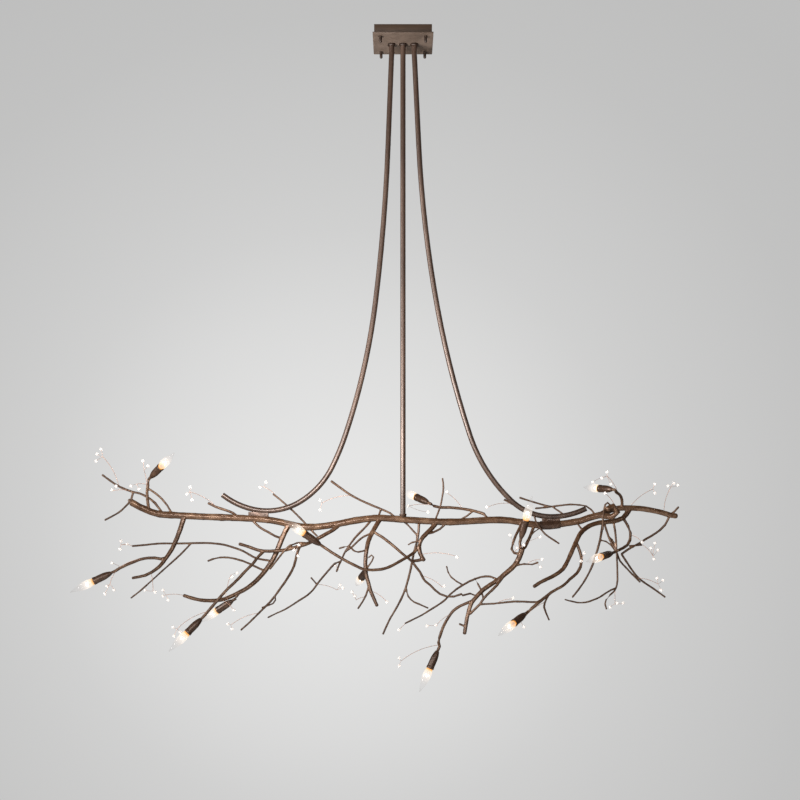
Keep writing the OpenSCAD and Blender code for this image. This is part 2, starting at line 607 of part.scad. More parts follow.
module plate_outline(side, corner) {
  hull()
    for (x = [-1, 1], y = [-1, 1])
      translate([x * (side / 2 - corner), y * (side / 2 - corner)])
        circle(r = corner, $fn = 24);
}
module mounting_bracket() {
  color(steel)
    difference() {
      translate([-bracket_w / 2, -bracket_w / 2, -bracket_t])
        cube([bracket_w, bracket_w, bracket_t]);
      translate([0, 0, -bracket_t - 1])
        cylinder(h = bracket_t + 2, d = bracket_bore_d, $fn = 64);
      for (x = [-1, 1])
        translate([x * box_screw_pitch / 2, 0, -bracket_t - 1])
          cylinder(h = bracket_t + 2, d = box_screw_d, $fn = 32);
      for (p = studs)
        translate(p - [0, 0, bracket_t + 1])
          cylinder(h = bracket_t + 2, d = stud_d, $fn = 32);
    }
}
module bracket_studs() {
  color(steel)
    for (p = studs) {
      translate(p + [0, 0, plate_bottom - stud_grip])
        cylinder(h = -plate_bottom + stud_grip, d = stud_d, $fn = 32);
      translate(p - [0, 0, bracket_t + 3])
        cylinder(h = 3, r = stud_d, $fn = 6);
    }
}
module canopy_box() {
  color(bronze)
    difference() {
      translate([-box_w / 2, -box_w / 2, -box_h])
        cube([box_w, box_w, box_h]);
      translate([-box_w / 2 + box_wall, -box_w / 2 + box_wall, -box_h + box_wall])
        cube([box_w - 2 * box_wall, box_w - 2 * box_wall, box_h]);
      translate([-tube_pitch - box_lip * 2, -box_lip * 2, -box_h - 1])
        cube([2 * tube_pitch + box_lip * 4, box_lip * 4, box_wall + 2]);
      for (p = studs)
        translate(p - [0, 0, box_h + 1])
          cylinder(h = box_wall + 2, d = stud_d + 2 * slip, $fn = 32);
    }
}
module canopy_plate() {
  color(bronze)
    difference() {
      translate([0, 0, plate_bottom])
        union() {
          translate([-plate_w / 2, -plate_w / 2, plate_t / 2])
            cube([plate_w, plate_w, plate_t / 2]);
          translate([-plate_w / 2 + 1, -plate_w / 2 + 1, 0])
            cube([plate_w - 2, plate_w - 2, plate_t]);
        }
      for (x = tube_xs)
        translate([x, 0, plate_bottom - 1])
          cylinder(h = plate_t + 2, r = nipple_r + slip, $fn = 32);
      for (p = studs)
        translate(p + [0, 0, plate_bottom - 1])
          cylinder(h = plate_t + 2, d = stud_d + 2 * slip, $fn = 32);
    }
}
module finial_nuts() {
  r = finial_d / 2;
  bore_r = stud_d / 2 + 0.05;
  color(dark_bronze)
    for (p = studs)
      translate(p + [0, 0, plate_bottom - finial_l])
        rotate_extrude($fn = 32)
          polygon([
            [0, 0], [r * 0.55, 0], [r * 0.85, 1.5], [r, 4], [r, finial_l - 5], [r * 0.8, finial_l - 4],
            [r * 0.8, finial_l - 3], [r + 1, finial_l - 2], [r + 1, finial_l],
            [bore_r, finial_l], [bore_r, finial_l - stud_grip - 1], [0, finial_l - stud_grip - 1]
          ]);
}
module stem_nipples() {
  color(brass)
    for (x = tube_xs)
      translate([x, 0, plate_bottom - nipple_grip])
        difference() {
          cylinder(h = nipple_top - plate_bottom + nipple_grip, r = nipple_r, $fn = 32);
          translate([0, 0, -1])
            cylinder(h = nipple_top - plate_bottom + nipple_grip + 2, d = nipple_bore, $fn = 32);
        }
}
module stem_locknuts() {
  color(steel)
    for (x = tube_xs)
      translate([x, 0, plate_top])
        difference() {
          cylinder(h = nut_h, r = nut_r, $fn = 6);
          translate([0, 0, -1])
            cylinder(h = nut_h + 2, r = nipple_r, $fn = 32);
        }
}
module stem_collars() {
  color(dark_bronze)
    for (x = tube_xs)
      translate([x, 0, plate_bottom - collar_h])
        rotate_extrude($fn = 48)
          polygon([
            [tube_r + slip, 0], [collar_d / 2 - 2, 0], [collar_d / 2, 2], [collar_d / 2, collar_h],
            [tube_r + slip, collar_h]
          ]);
}

// ---------------------------------------------------------------- hanging tubes
// depth that each outer tube takes up with its bends; the straight length makes up the rest
left_fall = 1178;
right_fall = 1176;
// each outer tube: bends as [radius, angle], and straight lengths as [0, length]
left_bends = [
  [0, 26], [120, 2.2], [0, trunk_drop - left_fall], [5650, 4.8], [2040, 11.4], [780, 7.8],
  [255, 32.2], [192, 44.5], [231, 24.2]
];
right_bends = [
  [0, 26], [120, 2.8], [0, trunk_drop - right_fall], [3710, 7.6], [2870, 7.8], [482, 28],
  [174, 42.4], [226, 27.4]
];
// first of the lower bends, which the saddles and twigs touch
left_low = 5;
right_low = 5;
// neighbouring lengths of a tube overlap by seam_lap and step by seam_step in radius where they meet
seam_step = 0.05;
seam_lap = 0.1;
end_cap_l = 4;

// heading before bend i, in degrees from straight down, and the point where bend i starts
function slope_at(bends, i) =
  i == 0 ? 0 : slope_at(bends, i - 1) + (bends[i - 1][0] == 0 ? 0 : bends[i - 1][1]);
function along(a) = [sin(a), -cos(a)];
function aside(a) = [cos(a), sin(a)];
function bend_start(bends, i) =
  i == 0 ? [0, 0]
    : bend_start(bends, i - 1)
      + (bends[i - 1][0] == 0
        ? bends[i - 1][1] * along(slope_at(bends, i - 1))
        : bends[i - 1][0] * (aside(slope_at(bends, i - 1)) - aside(slope_at(bends, i))));

// bent round bar: outer radius ro, bore radius ri (0 for a solid bar)
module bar_profile(ro, ri, sides = 32) {
  difference() {
    circle(r = ro, $fn = sides);
    if (ri > 0)
      circle(r = ri, $fn = sides);
  }
}
module bar_piece(bends, i, l, ro, ri) {
  p = bend_start(bends, i);
  translate([p[0], 0, p[1]])
    rotate([0, 180 - slope_at(bends, i), 0])
      linear_extrude(l)
        bar_profile(ro, ri);
}
module bar_bend(bends, i, ro, ri, sides, turn_sides, lap = seam_lap) {
  turn = slope_at(bends, i);
  centre = bend_start(bends, i) + bends[i][0] * aside(turn);
  translate([centre[0], 0, centre[1]])
    rotate([90, 0, 0])
      rotate([0, 0, 180 + turn])
        rotate_extrude(angle = bends[i][1] + lap / bends[i][0] * 180 / PI, $fn = turn_sides)
          translate([bends[i][0], 0])
            bar_profile(ro, ri, sides);
}
module bent_bar(bends, ro, ri) {
  for (i = [0:len(bends) - 1]) {
    r = ro - (i % 2) * seam_step;
    bore = ri > 0 ? ri + (i % 2) * seam_step : 0;
    lap = ri > 0 || i < len(bends) - 1 ? seam_lap : -2 * seam_lap;
    if (bends[i][0] == 0)
      bar_piece(bends, i, bends[i][1] + seam_lap, r, bore);
    else
      bar_bend(bends, i, r, bore, 32, 720, lap);
  }
}
module left_bar(ro, ri, cap = 0) {
  translate([-tube_pitch, 0, plate_bottom])
    mirror([1, 0, 0]) {
      bent_bar(left_bends, ro, ri);
      if (cap > 0)
        bar_piece(left_bends, len(left_bends), cap, ro - (len(left_bends) % 2) * seam_step, 0);
    }
}
module right_bar(ro, ri, cap = 0) {
  translate([tube_pitch, 0, plate_bottom]) {
    bent_bar(right_bends, ro, ri);
    if (cap > 0)
      bar_piece(right_bends, len(right_bends), cap, ro - (len(right_bends) % 2) * seam_step, 0);
  }
}
// the lower bends of both tubes with some room around them, taken out of what fits against them
module tube_room() {
  sides = 16;
  ro = tube_r / cos(180 / sides) + slip;
  translate([-tube_pitch, 0, plate_bottom])
    mirror([1, 0, 0])
      for (i = [left_low:len(left_bends) - 1])
        bar_bend(left_bends, i, ro, 0, sides, 180);
  translate([tube_pitch, 0, plate_bottom]) {
    for (i = [right_low:len(right_bends) - 1])
      bar_bend(right_bends, i, ro, 0, sides, 180);
    bar_piece(right_bends, len(right_bends), end_cap_l + slip, ro, 0);
  }
}
module stem_left() {
  color(bronze)
    left_bar(tube_r, tube_bore_r, end_cap_l);
}
module stem_right() {
  color(bronze)
    right_bar(tube_r, tube_bore_r, end_cap_l);
}

centre_z = place([0, 0, -1.2])[2];
flange_h = 12;
flange_top = centre_z + trunk_r + flange_h / 2;
module stem_centre() {
  color(bronze)
    translate([0, 0, flange_top])
      linear_extrude(plate_bottom - flange_top)
        bar_profile(tube_r, tube_bore_r);
}
module centre_flange() {
  color(dark_bronze)
    difference() {
      translate([0, 0, centre_z])
        cylinder(h = flange_top - centre_z, r1 = trunk_r * 0.8, r2 = tube_r + 3, $fn = 32);
      trunk_solid();
      wire_port();
    }
}
// the wires of the centre tube pass down through the flange into the trunk
module wire_port() {
  translate([0, 0, centre_z])
    cylinder(h = flange_top - centre_z + 1, d = nipple_bore, $fn = 24);
}
module stem_wires() {
  wire_r = wire_d / 2;
  color(lead_colour) {
    for (x = tube_xs)
      translate([x, 0, plate_bottom])
        cylinder(h = nipple_top - plate_bottom + 3, r = wire_r, $fn = 24);
    left_bar(wire_r, 0);
    right_bar(wire_r, 0);
    translate([0, 0, centre_z + loom_r + slip])
      cylinder(h = plate_bottom - centre_z - loom_r - slip, r = wire_r, $fn = 24);
  }
}

// ---------------------------------------------------------------- wiring in the canopy
lead_r = 1.6;
lead_reach = 30;
nut_cone_r = 5;
nut_cone_l = 11;
lead_z = nipple_top + 3;
module lead_point(x) {
  translate([x, 0, lead_z])
    children();
}
module supply_leads() {
  color(lead_colour)
    for (x = tube_xs, s = [-1, 1])
      lead_point(x)
        translate([0, s * lead_r, lead_r])
          rotate([-90 * s, 0, 0])
            cylinder(h = lead_reach, r = lead_r, $fn = 24);
}
module wire_nuts() {
  color("orange")
    for (x = tube_xs, s = [-1, 1])
      lead_point(x)
        translate([0, s * (lead_r + lead_reach), lead_r])
          rotate([-90 * s, 0, 0])
            cylinder(h = nut_cone_l, r1 = nut_cone_r, r2 = nut_cone_r * 0.6, $fn = 32);
}

// ---------------------------------------------------------------- saddles that join tubes and trunk
saddle_t = 10;
screw_r = 2.4;
screw_h = 2;
// left and right saddle: middle, half length and distance of each screw from the middle, on the grid
saddles = [[-144.5, 10, 6.5], [148, 9, 3.6]];
saddle_reach = 8;
function saddle_z(s) = place([s[0], 0, s[0] < 0 ? 3.5 : -2.2])[2];
module saddle_block(s) {
  translate([s[0] * grid - s[1] * grid, -saddle_t / 2, saddle_z(s) - saddle_reach])
    cube([2 * s[1] * grid, saddle_t, 2 * saddle_reach]);
}
module stem_saddles() {
  color(dark_bronze)
    difference() {
      union() {
        for (s = saddles)
          saddle_block(s);
        rod(places(sleeve_route), sleeve_r, sleeve_r, 8, flat_end = true);
      }
      trunk_solid();
      tube_room();
    }
}
module saddle_screws() {
  color(steel)
    for (s = saddles, x = [-1, 1])
      translate([(s[0] + x * s[2]) * grid, -saddle_t / 2 - screw_h, saddle_z(s)])
        rotate([-90, 0, 0])
          cylinder(h = screw_h, r = screw_r, $fn = 32);
}

// ---------------------------------------------------------------- branch nodes
module trunk() {
  color(bronze)
    difference() {
      trunk_solid();
      trunk_core(trunk_bore_r, 0);
      wire_port();
    }
}
module trunk_loom() {
  color(lead_colour)
    trunk_core(loom_r, 1);
}
module branch_left_tip() {
  color(bronze)
    difference() {
      union() {
        rods(branch_left_tip_rods);
        lamp_arm(1);
      }
      trunk_solid();
    }
}
module limb_left_outer() {
  color(bronze)
    difference() {
      union() {
        rods(limb_left_outer_rods);
        lamp_arm(2);
      }
      trunk_solid();
    }
}
module limb_left_long() {
  color(bronze)
    difference() {
      union() {
        rods(limb_left_long_rods);
        lamp_arm(4);
      }
      trunk_solid();
    }
}
module limb_left_middle() {
  color(bronze)
    difference() {
      union() {
        rods(limb_left_middle_rods);
        lamp_arm(3);
      }
      trunk_solid();
      rods(limb_left_long_rods);
    }
}
module limb_centre() {
  color(bronze)
    difference() {
      union() {
        rods(limb_centre_rods);
        lamp_arm(7);
      }
      trunk_solid();
    }
}
module limb_centre_right() {
  color(bronze)
    difference() {
      union() {
        rods(limb_centre_right_rods);
        lamp_arm(5);
      }
      trunk_solid();
      rods(limb_centre_rods);
      rods(limb_low_rods);
    }
}
module twigs_centre() {
  color(bronze)
    difference() {
      rods(twigs_centre_rods);
      trunk_solid();
      rods(limb_centre_right_rods);
      lamp_arm(5);
    }
}
module arm_centre_top() {
  color(bronze)
    difference() {
      union() {
        rods(arm_centre_top_rods);
        lamp_arm(6);
      }
      trunk_solid();
    }
}
module limb_low() {
  color(bronze)
    difference() {
      union() {
        rods(limb_low_rods);
        lamp_arm(8);
        lamp_arm(10);
      }
      trunk_solid();
    }
}
module limb_right() {
  color(bronze)
    difference() {
      union() {
        rods(limb_right_rods);
        lamp_arm(12);
      }
      trunk_solid();
    }
}
module limb_right_front() {
  color(bronze)
    difference() {
      union() {
        rods(limb_right_front_rods);
        lamp_arm(9);
        lamp_arm(11);
      }
      trunk_solid();
      rods(limb_right_rods);
      rods(limb_low_rods);
    }
}
module twigs_right() {
  color(bronze)
    difference() {
      rods(twigs_right_rods);
      trunk_solid();
      rods(limb_right_rods);
      rods(limb_right_front_rods);
      lamp_arm(11);
    }
}
module twigs_top() {
  color(bronze)
    difference() {
      rods(twigs_top_rods);
      trunk_solid();
      rods(sleeve_cut);
      rods(limb_left_middle_rods);
      tube_room();
    }
}
sleeve_cut = [[sleeve_route, sleeve_r, sleeve_r]];

// ---------------------------------------------------------------- crystal sprays
// each spray: start on a branch, end of the wire, then the beads
SPRAYS = [
  [[-284, 11, 31.5], [-300, 14, 61], [[-302, 13, 69], [-306, 14, 64], [-307, 15, 57]]],
  [[-273, 7, 27], [-291, 6, 27], [[-291, 6, 28], [-287, 5, 32]]],
  [[-255, -9, 33], [-266, -13, 34], [[-272, -13, 32], [-264, -14, 29]]],
  [[-256, -8.5, 29], [-259, -15, 48], [[-260, -16, 57], [-255, -15, 52]]],
  [[-270, 2, -28], [-282, 2, -27], [[-283, 1, -31], [-282, 2, -23], [-276, 3, -26]]],
  [[-286, -14, -52], [-293, -18, -66], [[-298, -17, -76], [-296, -18, -68], [-289, -19, -72]]],
  [[-258, -16, -40.5], [-283, -20, -49], [[-291, -21, -45]]],
  [[-252, -21, -54.5], [-250, -25, -73], [[-248, -24, -74], [-258, -26, -72]]],
  [[-218, -9, -78], [-237, -12, -77], [[-240, -13, -78], [-240, -12, -72], [-235, -14, -82]]],
  [[-197, -26, -94], [-226, -30, -111], [[-229, -31, -118], [-230, -30, -109], [-223, -29, -114]]],
  [[-187, -5, 11.5], [-213, -8, 26], [[-213, -8, 31], [-216, -9, 24], [-211, -7, 18]]],
  [[-126, 5, 21], [-139, 6, 31], [[-143, 7, 31], [-137, 6, 36]]],
  [[-51, 4, 22.5], [-81, 6, 15], [[-83, 6, 8], [-83, 7, 18]]],
  [[-144, 11, -95], [-172, 14, -107], [[-175, 14, -106], [-171, 15, -111]]],
  [[-176, -23, -71.5], [-172, -28, -57], [[-166, -28, -55], [-171, -29, -59]]],
  [[-181, -13, -82], [-171, -21, -90], [[-169, -22, -92], [-178, -21, -76]]],
  [[-103, -11, -28], [-107, -16, -31], [[-109, -17, -32], [-105, -17, -38], [-104, -16, -27]]],
  [[-86, 12, -66.5], [-66, 15, -72], [[-60, 16, -70], [-63, 15, -67]]],
  [[-66, 14, -52], [-66, 18, -49], [[-68, 18, -47], [-65, 19, -51]]],
  [[18, -10, -36.5], [52, -13, -38], [[54, -13, -39]]],
  [[59, 7, 9.5], [44, 4, 25], [[44, 4, 26]]],
  [[31, 9, 12], [6, 5, 12], [[5, 4, 12], [25, 8, 6]]],
  [[20, -12, -58], [39, -16, -69], [[41, -16, -68]]],
  [[-32, -19, -73], [-17, -22, -83], [[-16, -22, -84]]],
  [[-38, -18, -79], [-47, -20, -82], [[-51, -21, -74], [-48, -20, -78]]],
  [[48, -15.5, -96], [33, -18, -108], [[24, -18, -108], [33, -18, -107]]],
  [[10, -16, -101.5], [-3, -18, -111], [[-4, -18, -112]]],
  [[35.2, -12, -127], [-2, -16, -143], [[-4, -17, -148], [-4, -16, -140]]],
  [[108, 2, 14.5], [85, -2, 11], [[84, -2, 11]]],
  [[124, -15.3, -46.2], [132, -18, -42], [[139, -19.5, -41.4], [137.5, -17, -49]]],
  [[94, -26, -85], [109, -28, -81], [[110, -28, -80]]],
  [[142, -31, -84], [118, -34, -104], [[115, -34, -104], [121, -35, -109]]],
  [[179, -17, -44], [180, -20, -37], [[181, -20, -35], [178, -21, -43]]],
  [[212, -12, 11.5], [203, -17, 24], [[202, -17, 25]]],
  [[215, -6, 25], [204, -8, 42], [[204, -8, 46], [199, -9, 40], [190, -10, 36], [208, -8, 34]]],
  [[227, 7, 11], [250, 4, 29], [[252, 4, 34], [252, 3, 25]]],
  [[261, 10, 6], [268, 8, 31], [[271, 7, 35], [275, 9, 33], [265, 8, 32]]],
  [[228, 3, -17], [237, 0, -22], [[239, 0, -24]]],
  [[238, 9, -26], [250, 6, -38], [[251, 6, -41], [255, 7, -32], [252, 6, -25], [248, 5, -30]]],
  [[233, 2.5, -60], [255, 0, -66], [[258, 0, -72], [260, 1, -62], [254, 0, -60]]],
  [[212, -4, -72], [212, -7, -86], [[207, -7, -89], [220, -7, -85], [214, -8, -85]]],
  [[111, -12, -35.5], [114, -15, -31], [[114, -16, -30], [121, -15, -27], [137, -14, -19], [107, -14, -17]]]
];
spray_bow = 0.07;
spray_r = spray_d / 2;
wire_sides = 5;
bow_steps = 4;

// points of a wire between p and q, bowed upwards
function bowed(p, q) =
  let (
    chord = norm(q - p),
    run = unit(q - p),
    rise = unit([0, 0, 1] - run * run[2]))
  [for (i = [0:bow_steps])
    let (t = i / bow_steps)
    p + (q - p) * t + rise * (4 * chord * spray_bow * t * (1 - t))];
// direction halfway between the two stretches that meet at point i
function halfway(q, i) =
  let (
    before = unit(q[max(i, 1)] - q[max(i, 1) - 1]),
    after = unit(q[min(i + 1, len(q) - 1)] - q[min(i, len(q) - 2)]))
  unit(before + after);
module straight_wire(p, q, r) {
  dir = unit(q - p);
  hull()
    skin([for (end = [p, q]) ring(end, dir, r, wire_sides)]);
}
// a wire that runs on to its first bead, with a thinner wire to each other bead
module spray(s) {
  line = concat(bowed(place(s[0]), place(s[1])), [place(s[2][0])]);
  skin([for (i = [0:len(line) - 1]) ring(line[i], halfway(line, i), spray_r, wire_sides)]);
  for (k = [1:1:len(s[2]) - 1])
    straight_wire(place(s[1]), place(s[2][k]), spray_r * 0.75);
}
module spray_wires() {
  color(copper)
    union()
      for (s = SPRAYS)
        spray(s);
}
module spray_beads() {
  color(clear_glass)
    for (s = SPRAYS, b = s[2])
      translate(place(b))
        sphere(r = bead_r, $fn = 24);
}

mounting_bracket();
bracket_studs();
canopy_box();
canopy_plate();
finial_nuts();
stem_nipples();
stem_locknuts();
stem_collars();
stem_left();
stem_centre();
stem_right();
stem_wires();
supply_leads();
wire_nuts();
stem_saddles();
saddle_screws();
centre_flange();
trunk();
trunk_loom();
branch_left_tip();
limb_left_outer();
limb_left_long();
limb_left_middle();
limb_centre();
limb_centre_right();
twigs_centre();
arm_centre_top();
limb_low();
limb_right();
limb_right_front();
twigs_right();
twigs_top();
lamp_cup(1);  // cup_01
lamp_cup(2);  // cup_02
lamp_cup(3);  // cup_03
lamp_cup(4);  // cup_04
lamp_cup(5);  // cup_05
lamp_cup(6);  // cup_06
lamp_cup(7);  // cup_07
lamp_cup(8);  // cup_08
lamp_cup(9);  // cup_09
lamp_cup(10);  // cup_10
lamp_cup(11);  // cup_11
lamp_cup(12);  // cup_12
lampholders();
lamp_bulb(1);  // bulb_01
lamp_bulb(2);  // bulb_02
lamp_bulb(3);  // bulb_03
lamp_bulb(4);  // bulb_04
lamp_bulb(5);  // bulb_05
lamp_bulb(6);  // bulb_06
lamp_bulb(7);  // bulb_07
lamp_bulb(8);  // bulb_08
lamp_bulb(9);  // bulb_09
lamp_bulb(10);  // bulb_10
lamp_bulb(11);  // bulb_11
lamp_bulb(12);  // bulb_12
spray_wires();
spray_beads();
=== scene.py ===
import bpy, bmesh, math
import numpy as np
from mathutils import Matrix, Vector, noise
from mathutils.bvhtree import BVHTree


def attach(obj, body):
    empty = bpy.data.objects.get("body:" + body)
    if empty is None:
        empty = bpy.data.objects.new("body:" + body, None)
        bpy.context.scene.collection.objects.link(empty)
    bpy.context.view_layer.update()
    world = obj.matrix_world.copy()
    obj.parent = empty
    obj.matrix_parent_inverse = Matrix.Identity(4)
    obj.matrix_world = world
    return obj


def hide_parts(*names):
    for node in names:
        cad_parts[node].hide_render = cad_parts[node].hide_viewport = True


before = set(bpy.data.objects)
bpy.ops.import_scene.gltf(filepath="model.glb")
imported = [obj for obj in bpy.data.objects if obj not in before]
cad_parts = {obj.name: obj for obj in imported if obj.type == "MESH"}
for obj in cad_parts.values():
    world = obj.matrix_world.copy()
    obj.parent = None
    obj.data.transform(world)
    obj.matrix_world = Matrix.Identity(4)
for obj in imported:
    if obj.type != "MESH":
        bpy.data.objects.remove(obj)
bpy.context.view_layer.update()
scene = bpy.context.scene
BODY = "fixture"

# ---------------------------------------------------------------- camera, at the photograph's place
GRID = 0.003           # metres for a step of the layout grid
VIEW_DIST = 4.1        # from the camera to the trunk
SIGHT_Z = -1.504       # the camera's height
TRUNK_Z = -1.45        # height of the layout grid's zero
CAMERA_X = -0.009
LENS, SENSOR = 61.5, 36
FRAME_SHIFT = 0.17     # the picture is framed above the line of sight
cam_data = bpy.data.cameras.new("camera")
cam = bpy.data.objects.new("camera", cam_data)
scene.collection.objects.link(cam)
cam.location = (CAMERA_X, -VIEW_DIST, SIGHT_Z)
cam.rotation_euler = (math.radians(90), 0, 0)
cam_data.lens = LENS
cam_data.sensor_width = SENSOR
cam_data.shift_y = FRAME_SHIFT
cam_data.clip_end = 100
scene.camera = cam
scene.view_settings.view_transform = "Standard"


def place(p):
    """A point of the layout grid, as it is set back to its depth in the CAD source."""
    back = p[1] * GRID
    k = 1 + back / VIEW_DIST
    return Vector((p[0] * GRID * k, back, SIGHT_Z + (p[2] * GRID + TRUNK_Z - SIGHT_Z) * k))


# ---------------------------------------------------------------- material helpers
def lin(*rgb):
    """a linear colour from an 8-bit one"""
    return tuple((c / 255 / 12.92 if c <= 10 else ((c / 255 + 0.055) / 1.055) ** 2.4) for c in rgb)


def fill_ramp(node, stops):
    """stops: (position, grey or colour)"""
    elements = node.color_ramp.elements
    while len(elements) < len(stops):
        elements.new(0.5)
    for e, (pos, col) in zip(elements, stops):
        e.position = pos
        e.color = (*col, 1) if isinstance(col, tuple) else (col, col, col, 1)


class Mat:
    """A node material with a few shorthands."""

    def __init__(self, name):
        self.m = bpy.data.materials.new(name)
        self.m.use_nodes = True
        self.t = self.m.node_tree
        self.b = self.t.nodes["Principled BSDF"]
        self.coord = self.t.nodes.new("ShaderNodeTexCoord")

    def set(self, **kw):
        for k, v in kw.items():
            s = self.b.inputs[k.replace("_", " ")]
            s.default_value = (*v, 1) if isinstance(v, tuple) and len(v) == 3 else v
        return self

    def link(self, a, b):
        self.t.links.new(a, b)

    def feed(self, socket, value):
        """links a socket, or sets a constant"""
        if isinstance(value, bpy.types.NodeSocket):
            self.link(value, socket)
        else:
            socket.default_value = (*value, 1) if isinstance(value, tuple) else value

    def noise(self, scale, detail=4.0, rough=0.55, stretch=(1, 1, 1)):
        mp = self.t.nodes.new("ShaderNodeMapping")
        mp.inputs["Scale"].default_value = stretch
        self.link(self.coord.outputs["Object"], mp.inputs["Vector"])
        n = self.t.nodes.new("ShaderNodeTexNoise")
        n.inputs["Detail"].default_value = detail
        n.inputs["Roughness"].default_value = rough
        n.inputs["Scale"].default_value = scale
        self.link(mp.outputs[0], n.inputs["Vector"])
        return n.outputs[0]

    def attribute(self, name):
        a = self.t.nodes.new("ShaderNodeAttribute")
        a.attribute_name = name
        return a.outputs["Fac"]

    def ramp(self, fac, stops):
        r = self.t.nodes.new("ShaderNodeValToRGB")
        fill_ramp(r, stops)
        self.link(fac, r.inputs[0])
        return r.outputs[0]

    def mix(self, fac, a, b):
        m = self.t.nodes.new("ShaderNodeMix")
        m.data_type = "RGBA"
        for s, v in ((m.inputs["Factor"], fac), (m.inputs[6], a), (m.inputs[7], b)):
            self.feed(s, v)
        return m.outputs[2]

    def math(self, op, a, b=0.0):
        m = self.t.nodes.new("ShaderNodeMath")
        m.operation = op
        for s, v in zip(m.inputs, (a, b)):
            self.feed(s, v)
        return m.outputs[0]

    def bump(self, *heights):
        """heights: (socket, strength, distance in metres), stacked"""
        last = None
        for h, strength, dist in heights:
            b = self.t.nodes.new("ShaderNodeBump")
            b.inputs["Strength"].default_value = strength
            b.inputs["Distance"].default_value = dist
            self.link(h, b.inputs["Height"])
            if last is not None:
                self.link(last, b.inputs["Normal"])
            last = b.outputs[0]
        self.link(last, self.b.inputs["Normal"])

    def to(self, socket, name):
        self.link(socket, self.b.inputs[name])


def patina(name, dark, mid, light, rough=(0.34, 0.52), metallic=0.75, streaks=None, scale=1.0,
           stretch=(1, 1, 1), relief=1.0, grain=0.38, thin=None, sides=None):
    """bronze patina: mottled colour, rubbed high spots, fine grain

    streaks and thin name mesh attributes, and thin also paints shade on the twigs; sides is a painted shade
    colour for upright faces"""
    m = Mat(name).set(Metallic=metallic)
    big = m.noise(22 * scale, 3, 0.6, stretch)
    fine = m.noise(260 * scale, 5, 0.62, stretch)
    specks = m.noise(900 * scale, 2, 0.5)
    base = m.ramp(big, [(0.32, dark), (0.52, mid), (0.72, light)])
    col = m.mix(grain, base, m.ramp(fine, [(0.35, dark), (0.65, light)]))
    if streaks:
        s = m.attribute(streaks)
        col = m.mix(m.ramp(s, [(0.25, 0.75), (0.5, 0.0)]), col, dark)
        col = m.mix(m.ramp(s, [(0.55, 0.0), (0.85, 0.7)]), col, light)
    col = m.mix(m.ramp(specks, [(0.66, 0.0), (0.74, grain * 0.9)]), col, light)
    # painted shade: the thin twigs are painted darker because they catch less highlight than the thick limbs
    if thin:
        darker = tuple(c * 0.7 for c in dark)
        col = m.mix(m.ramp(m.attribute(thin), [(0.0, 0.0), (1.0, 0.42)]), col, darker)
    # painted shade: upright faces turn to the darker sides colour, as if the light came only from below
    if sides:
        up = m.t.nodes.new("ShaderNodeSeparateXYZ")
        m.link(m.coord.outputs["Normal"], up.inputs[0])
        upright = m.ramp(m.math("ABSOLUTE", up.outputs["Z"]), [(0.3, 1.0), (0.75, 0.0)])
        col = m.mix(upright, col, sides)
    m.to(col, "Base Color")
    gloss = m.ramp(fine, [(0.3, rough[1]), (0.7, rough[0])])
    if thin:
        gloss = m.mix(m.ramp(m.attribute(thin), [(0.2, 0.0), (1.0, 0.8)]), gloss, (0.6, 0.6, 0.6))
    m.to(gloss, "Roughness")
    m.bump((big, 0.25 * relief, 0.0012), (fine, 0.35 * relief, 0.0004), (specks, 0.15, 0.0001))
    return m.m


def metal(name, col, rough, stretch=(1, 1, 1)):
    m = Mat(name).set(Metallic=1.0)
    n = m.noise(180, 4, 0.6, stretch)
    dim = tuple(c * 0.72 for c in col)
    m.to(m.ramp(n, [(0.3, dim), (0.7, col)]), "Base Color")
    m.to(m.ramp(m.noise(60, 3, 0.5, stretch), [(0.3, rough * 1.35), (0.7, rough)]), "Roughness")
    m.bump((n, 0.2, 0.0002))
    return m.m


def plastic(name, col, rough=0.5):
    m = Mat(name)
    n = m.noise(300, 4, 0.6)
    m.to(m.ramp(n, [(0.3, tuple(c * 0.8 for c in col)), (0.7, col)]), "Base Color")
    m.to(m.ramp(m.noise(40, 2), [(0.3, rough * 1.2), (0.7, rough * 0.85)]), "Roughness")
    m.bump((n, 0.15, 0.0002))
    return m.m


BRANCH_MAT = patina("branch_bronze", lin(62, 40, 24), lin(88, 61, 41), lin(128, 100, 78), (0.24, 0.34), 0.35,
                    "streak", relief=0.25, grain=0.18, thin="thin")
CUP_MAT = patina("cup_bronze", lin(44, 28, 18), lin(64, 43, 30), lin(96, 72, 56), (0.3, 0.42), 0.35,
                 scale=1.4, relief=0.5, grain=0.25)
# the finials' own dark bronze, which the collars also take as a painted shadow
FINIAL_AND_SHADOW_MAT = patina("finial_bronze_and_painted_shadow", lin(26, 16, 10), lin(38, 25, 17), lin(62, 44, 33), metallic=0.35,
                    scale=1.4)
TUBE_MAT = patina("tube_bronze", lin(50, 36, 28), lin(64, 48, 39), lin(86, 69, 59), (0.28, 0.38), 0.3,
                  stretch=(1, 1, 0.12), scale=1.3, relief=0.3, grain=0.2)
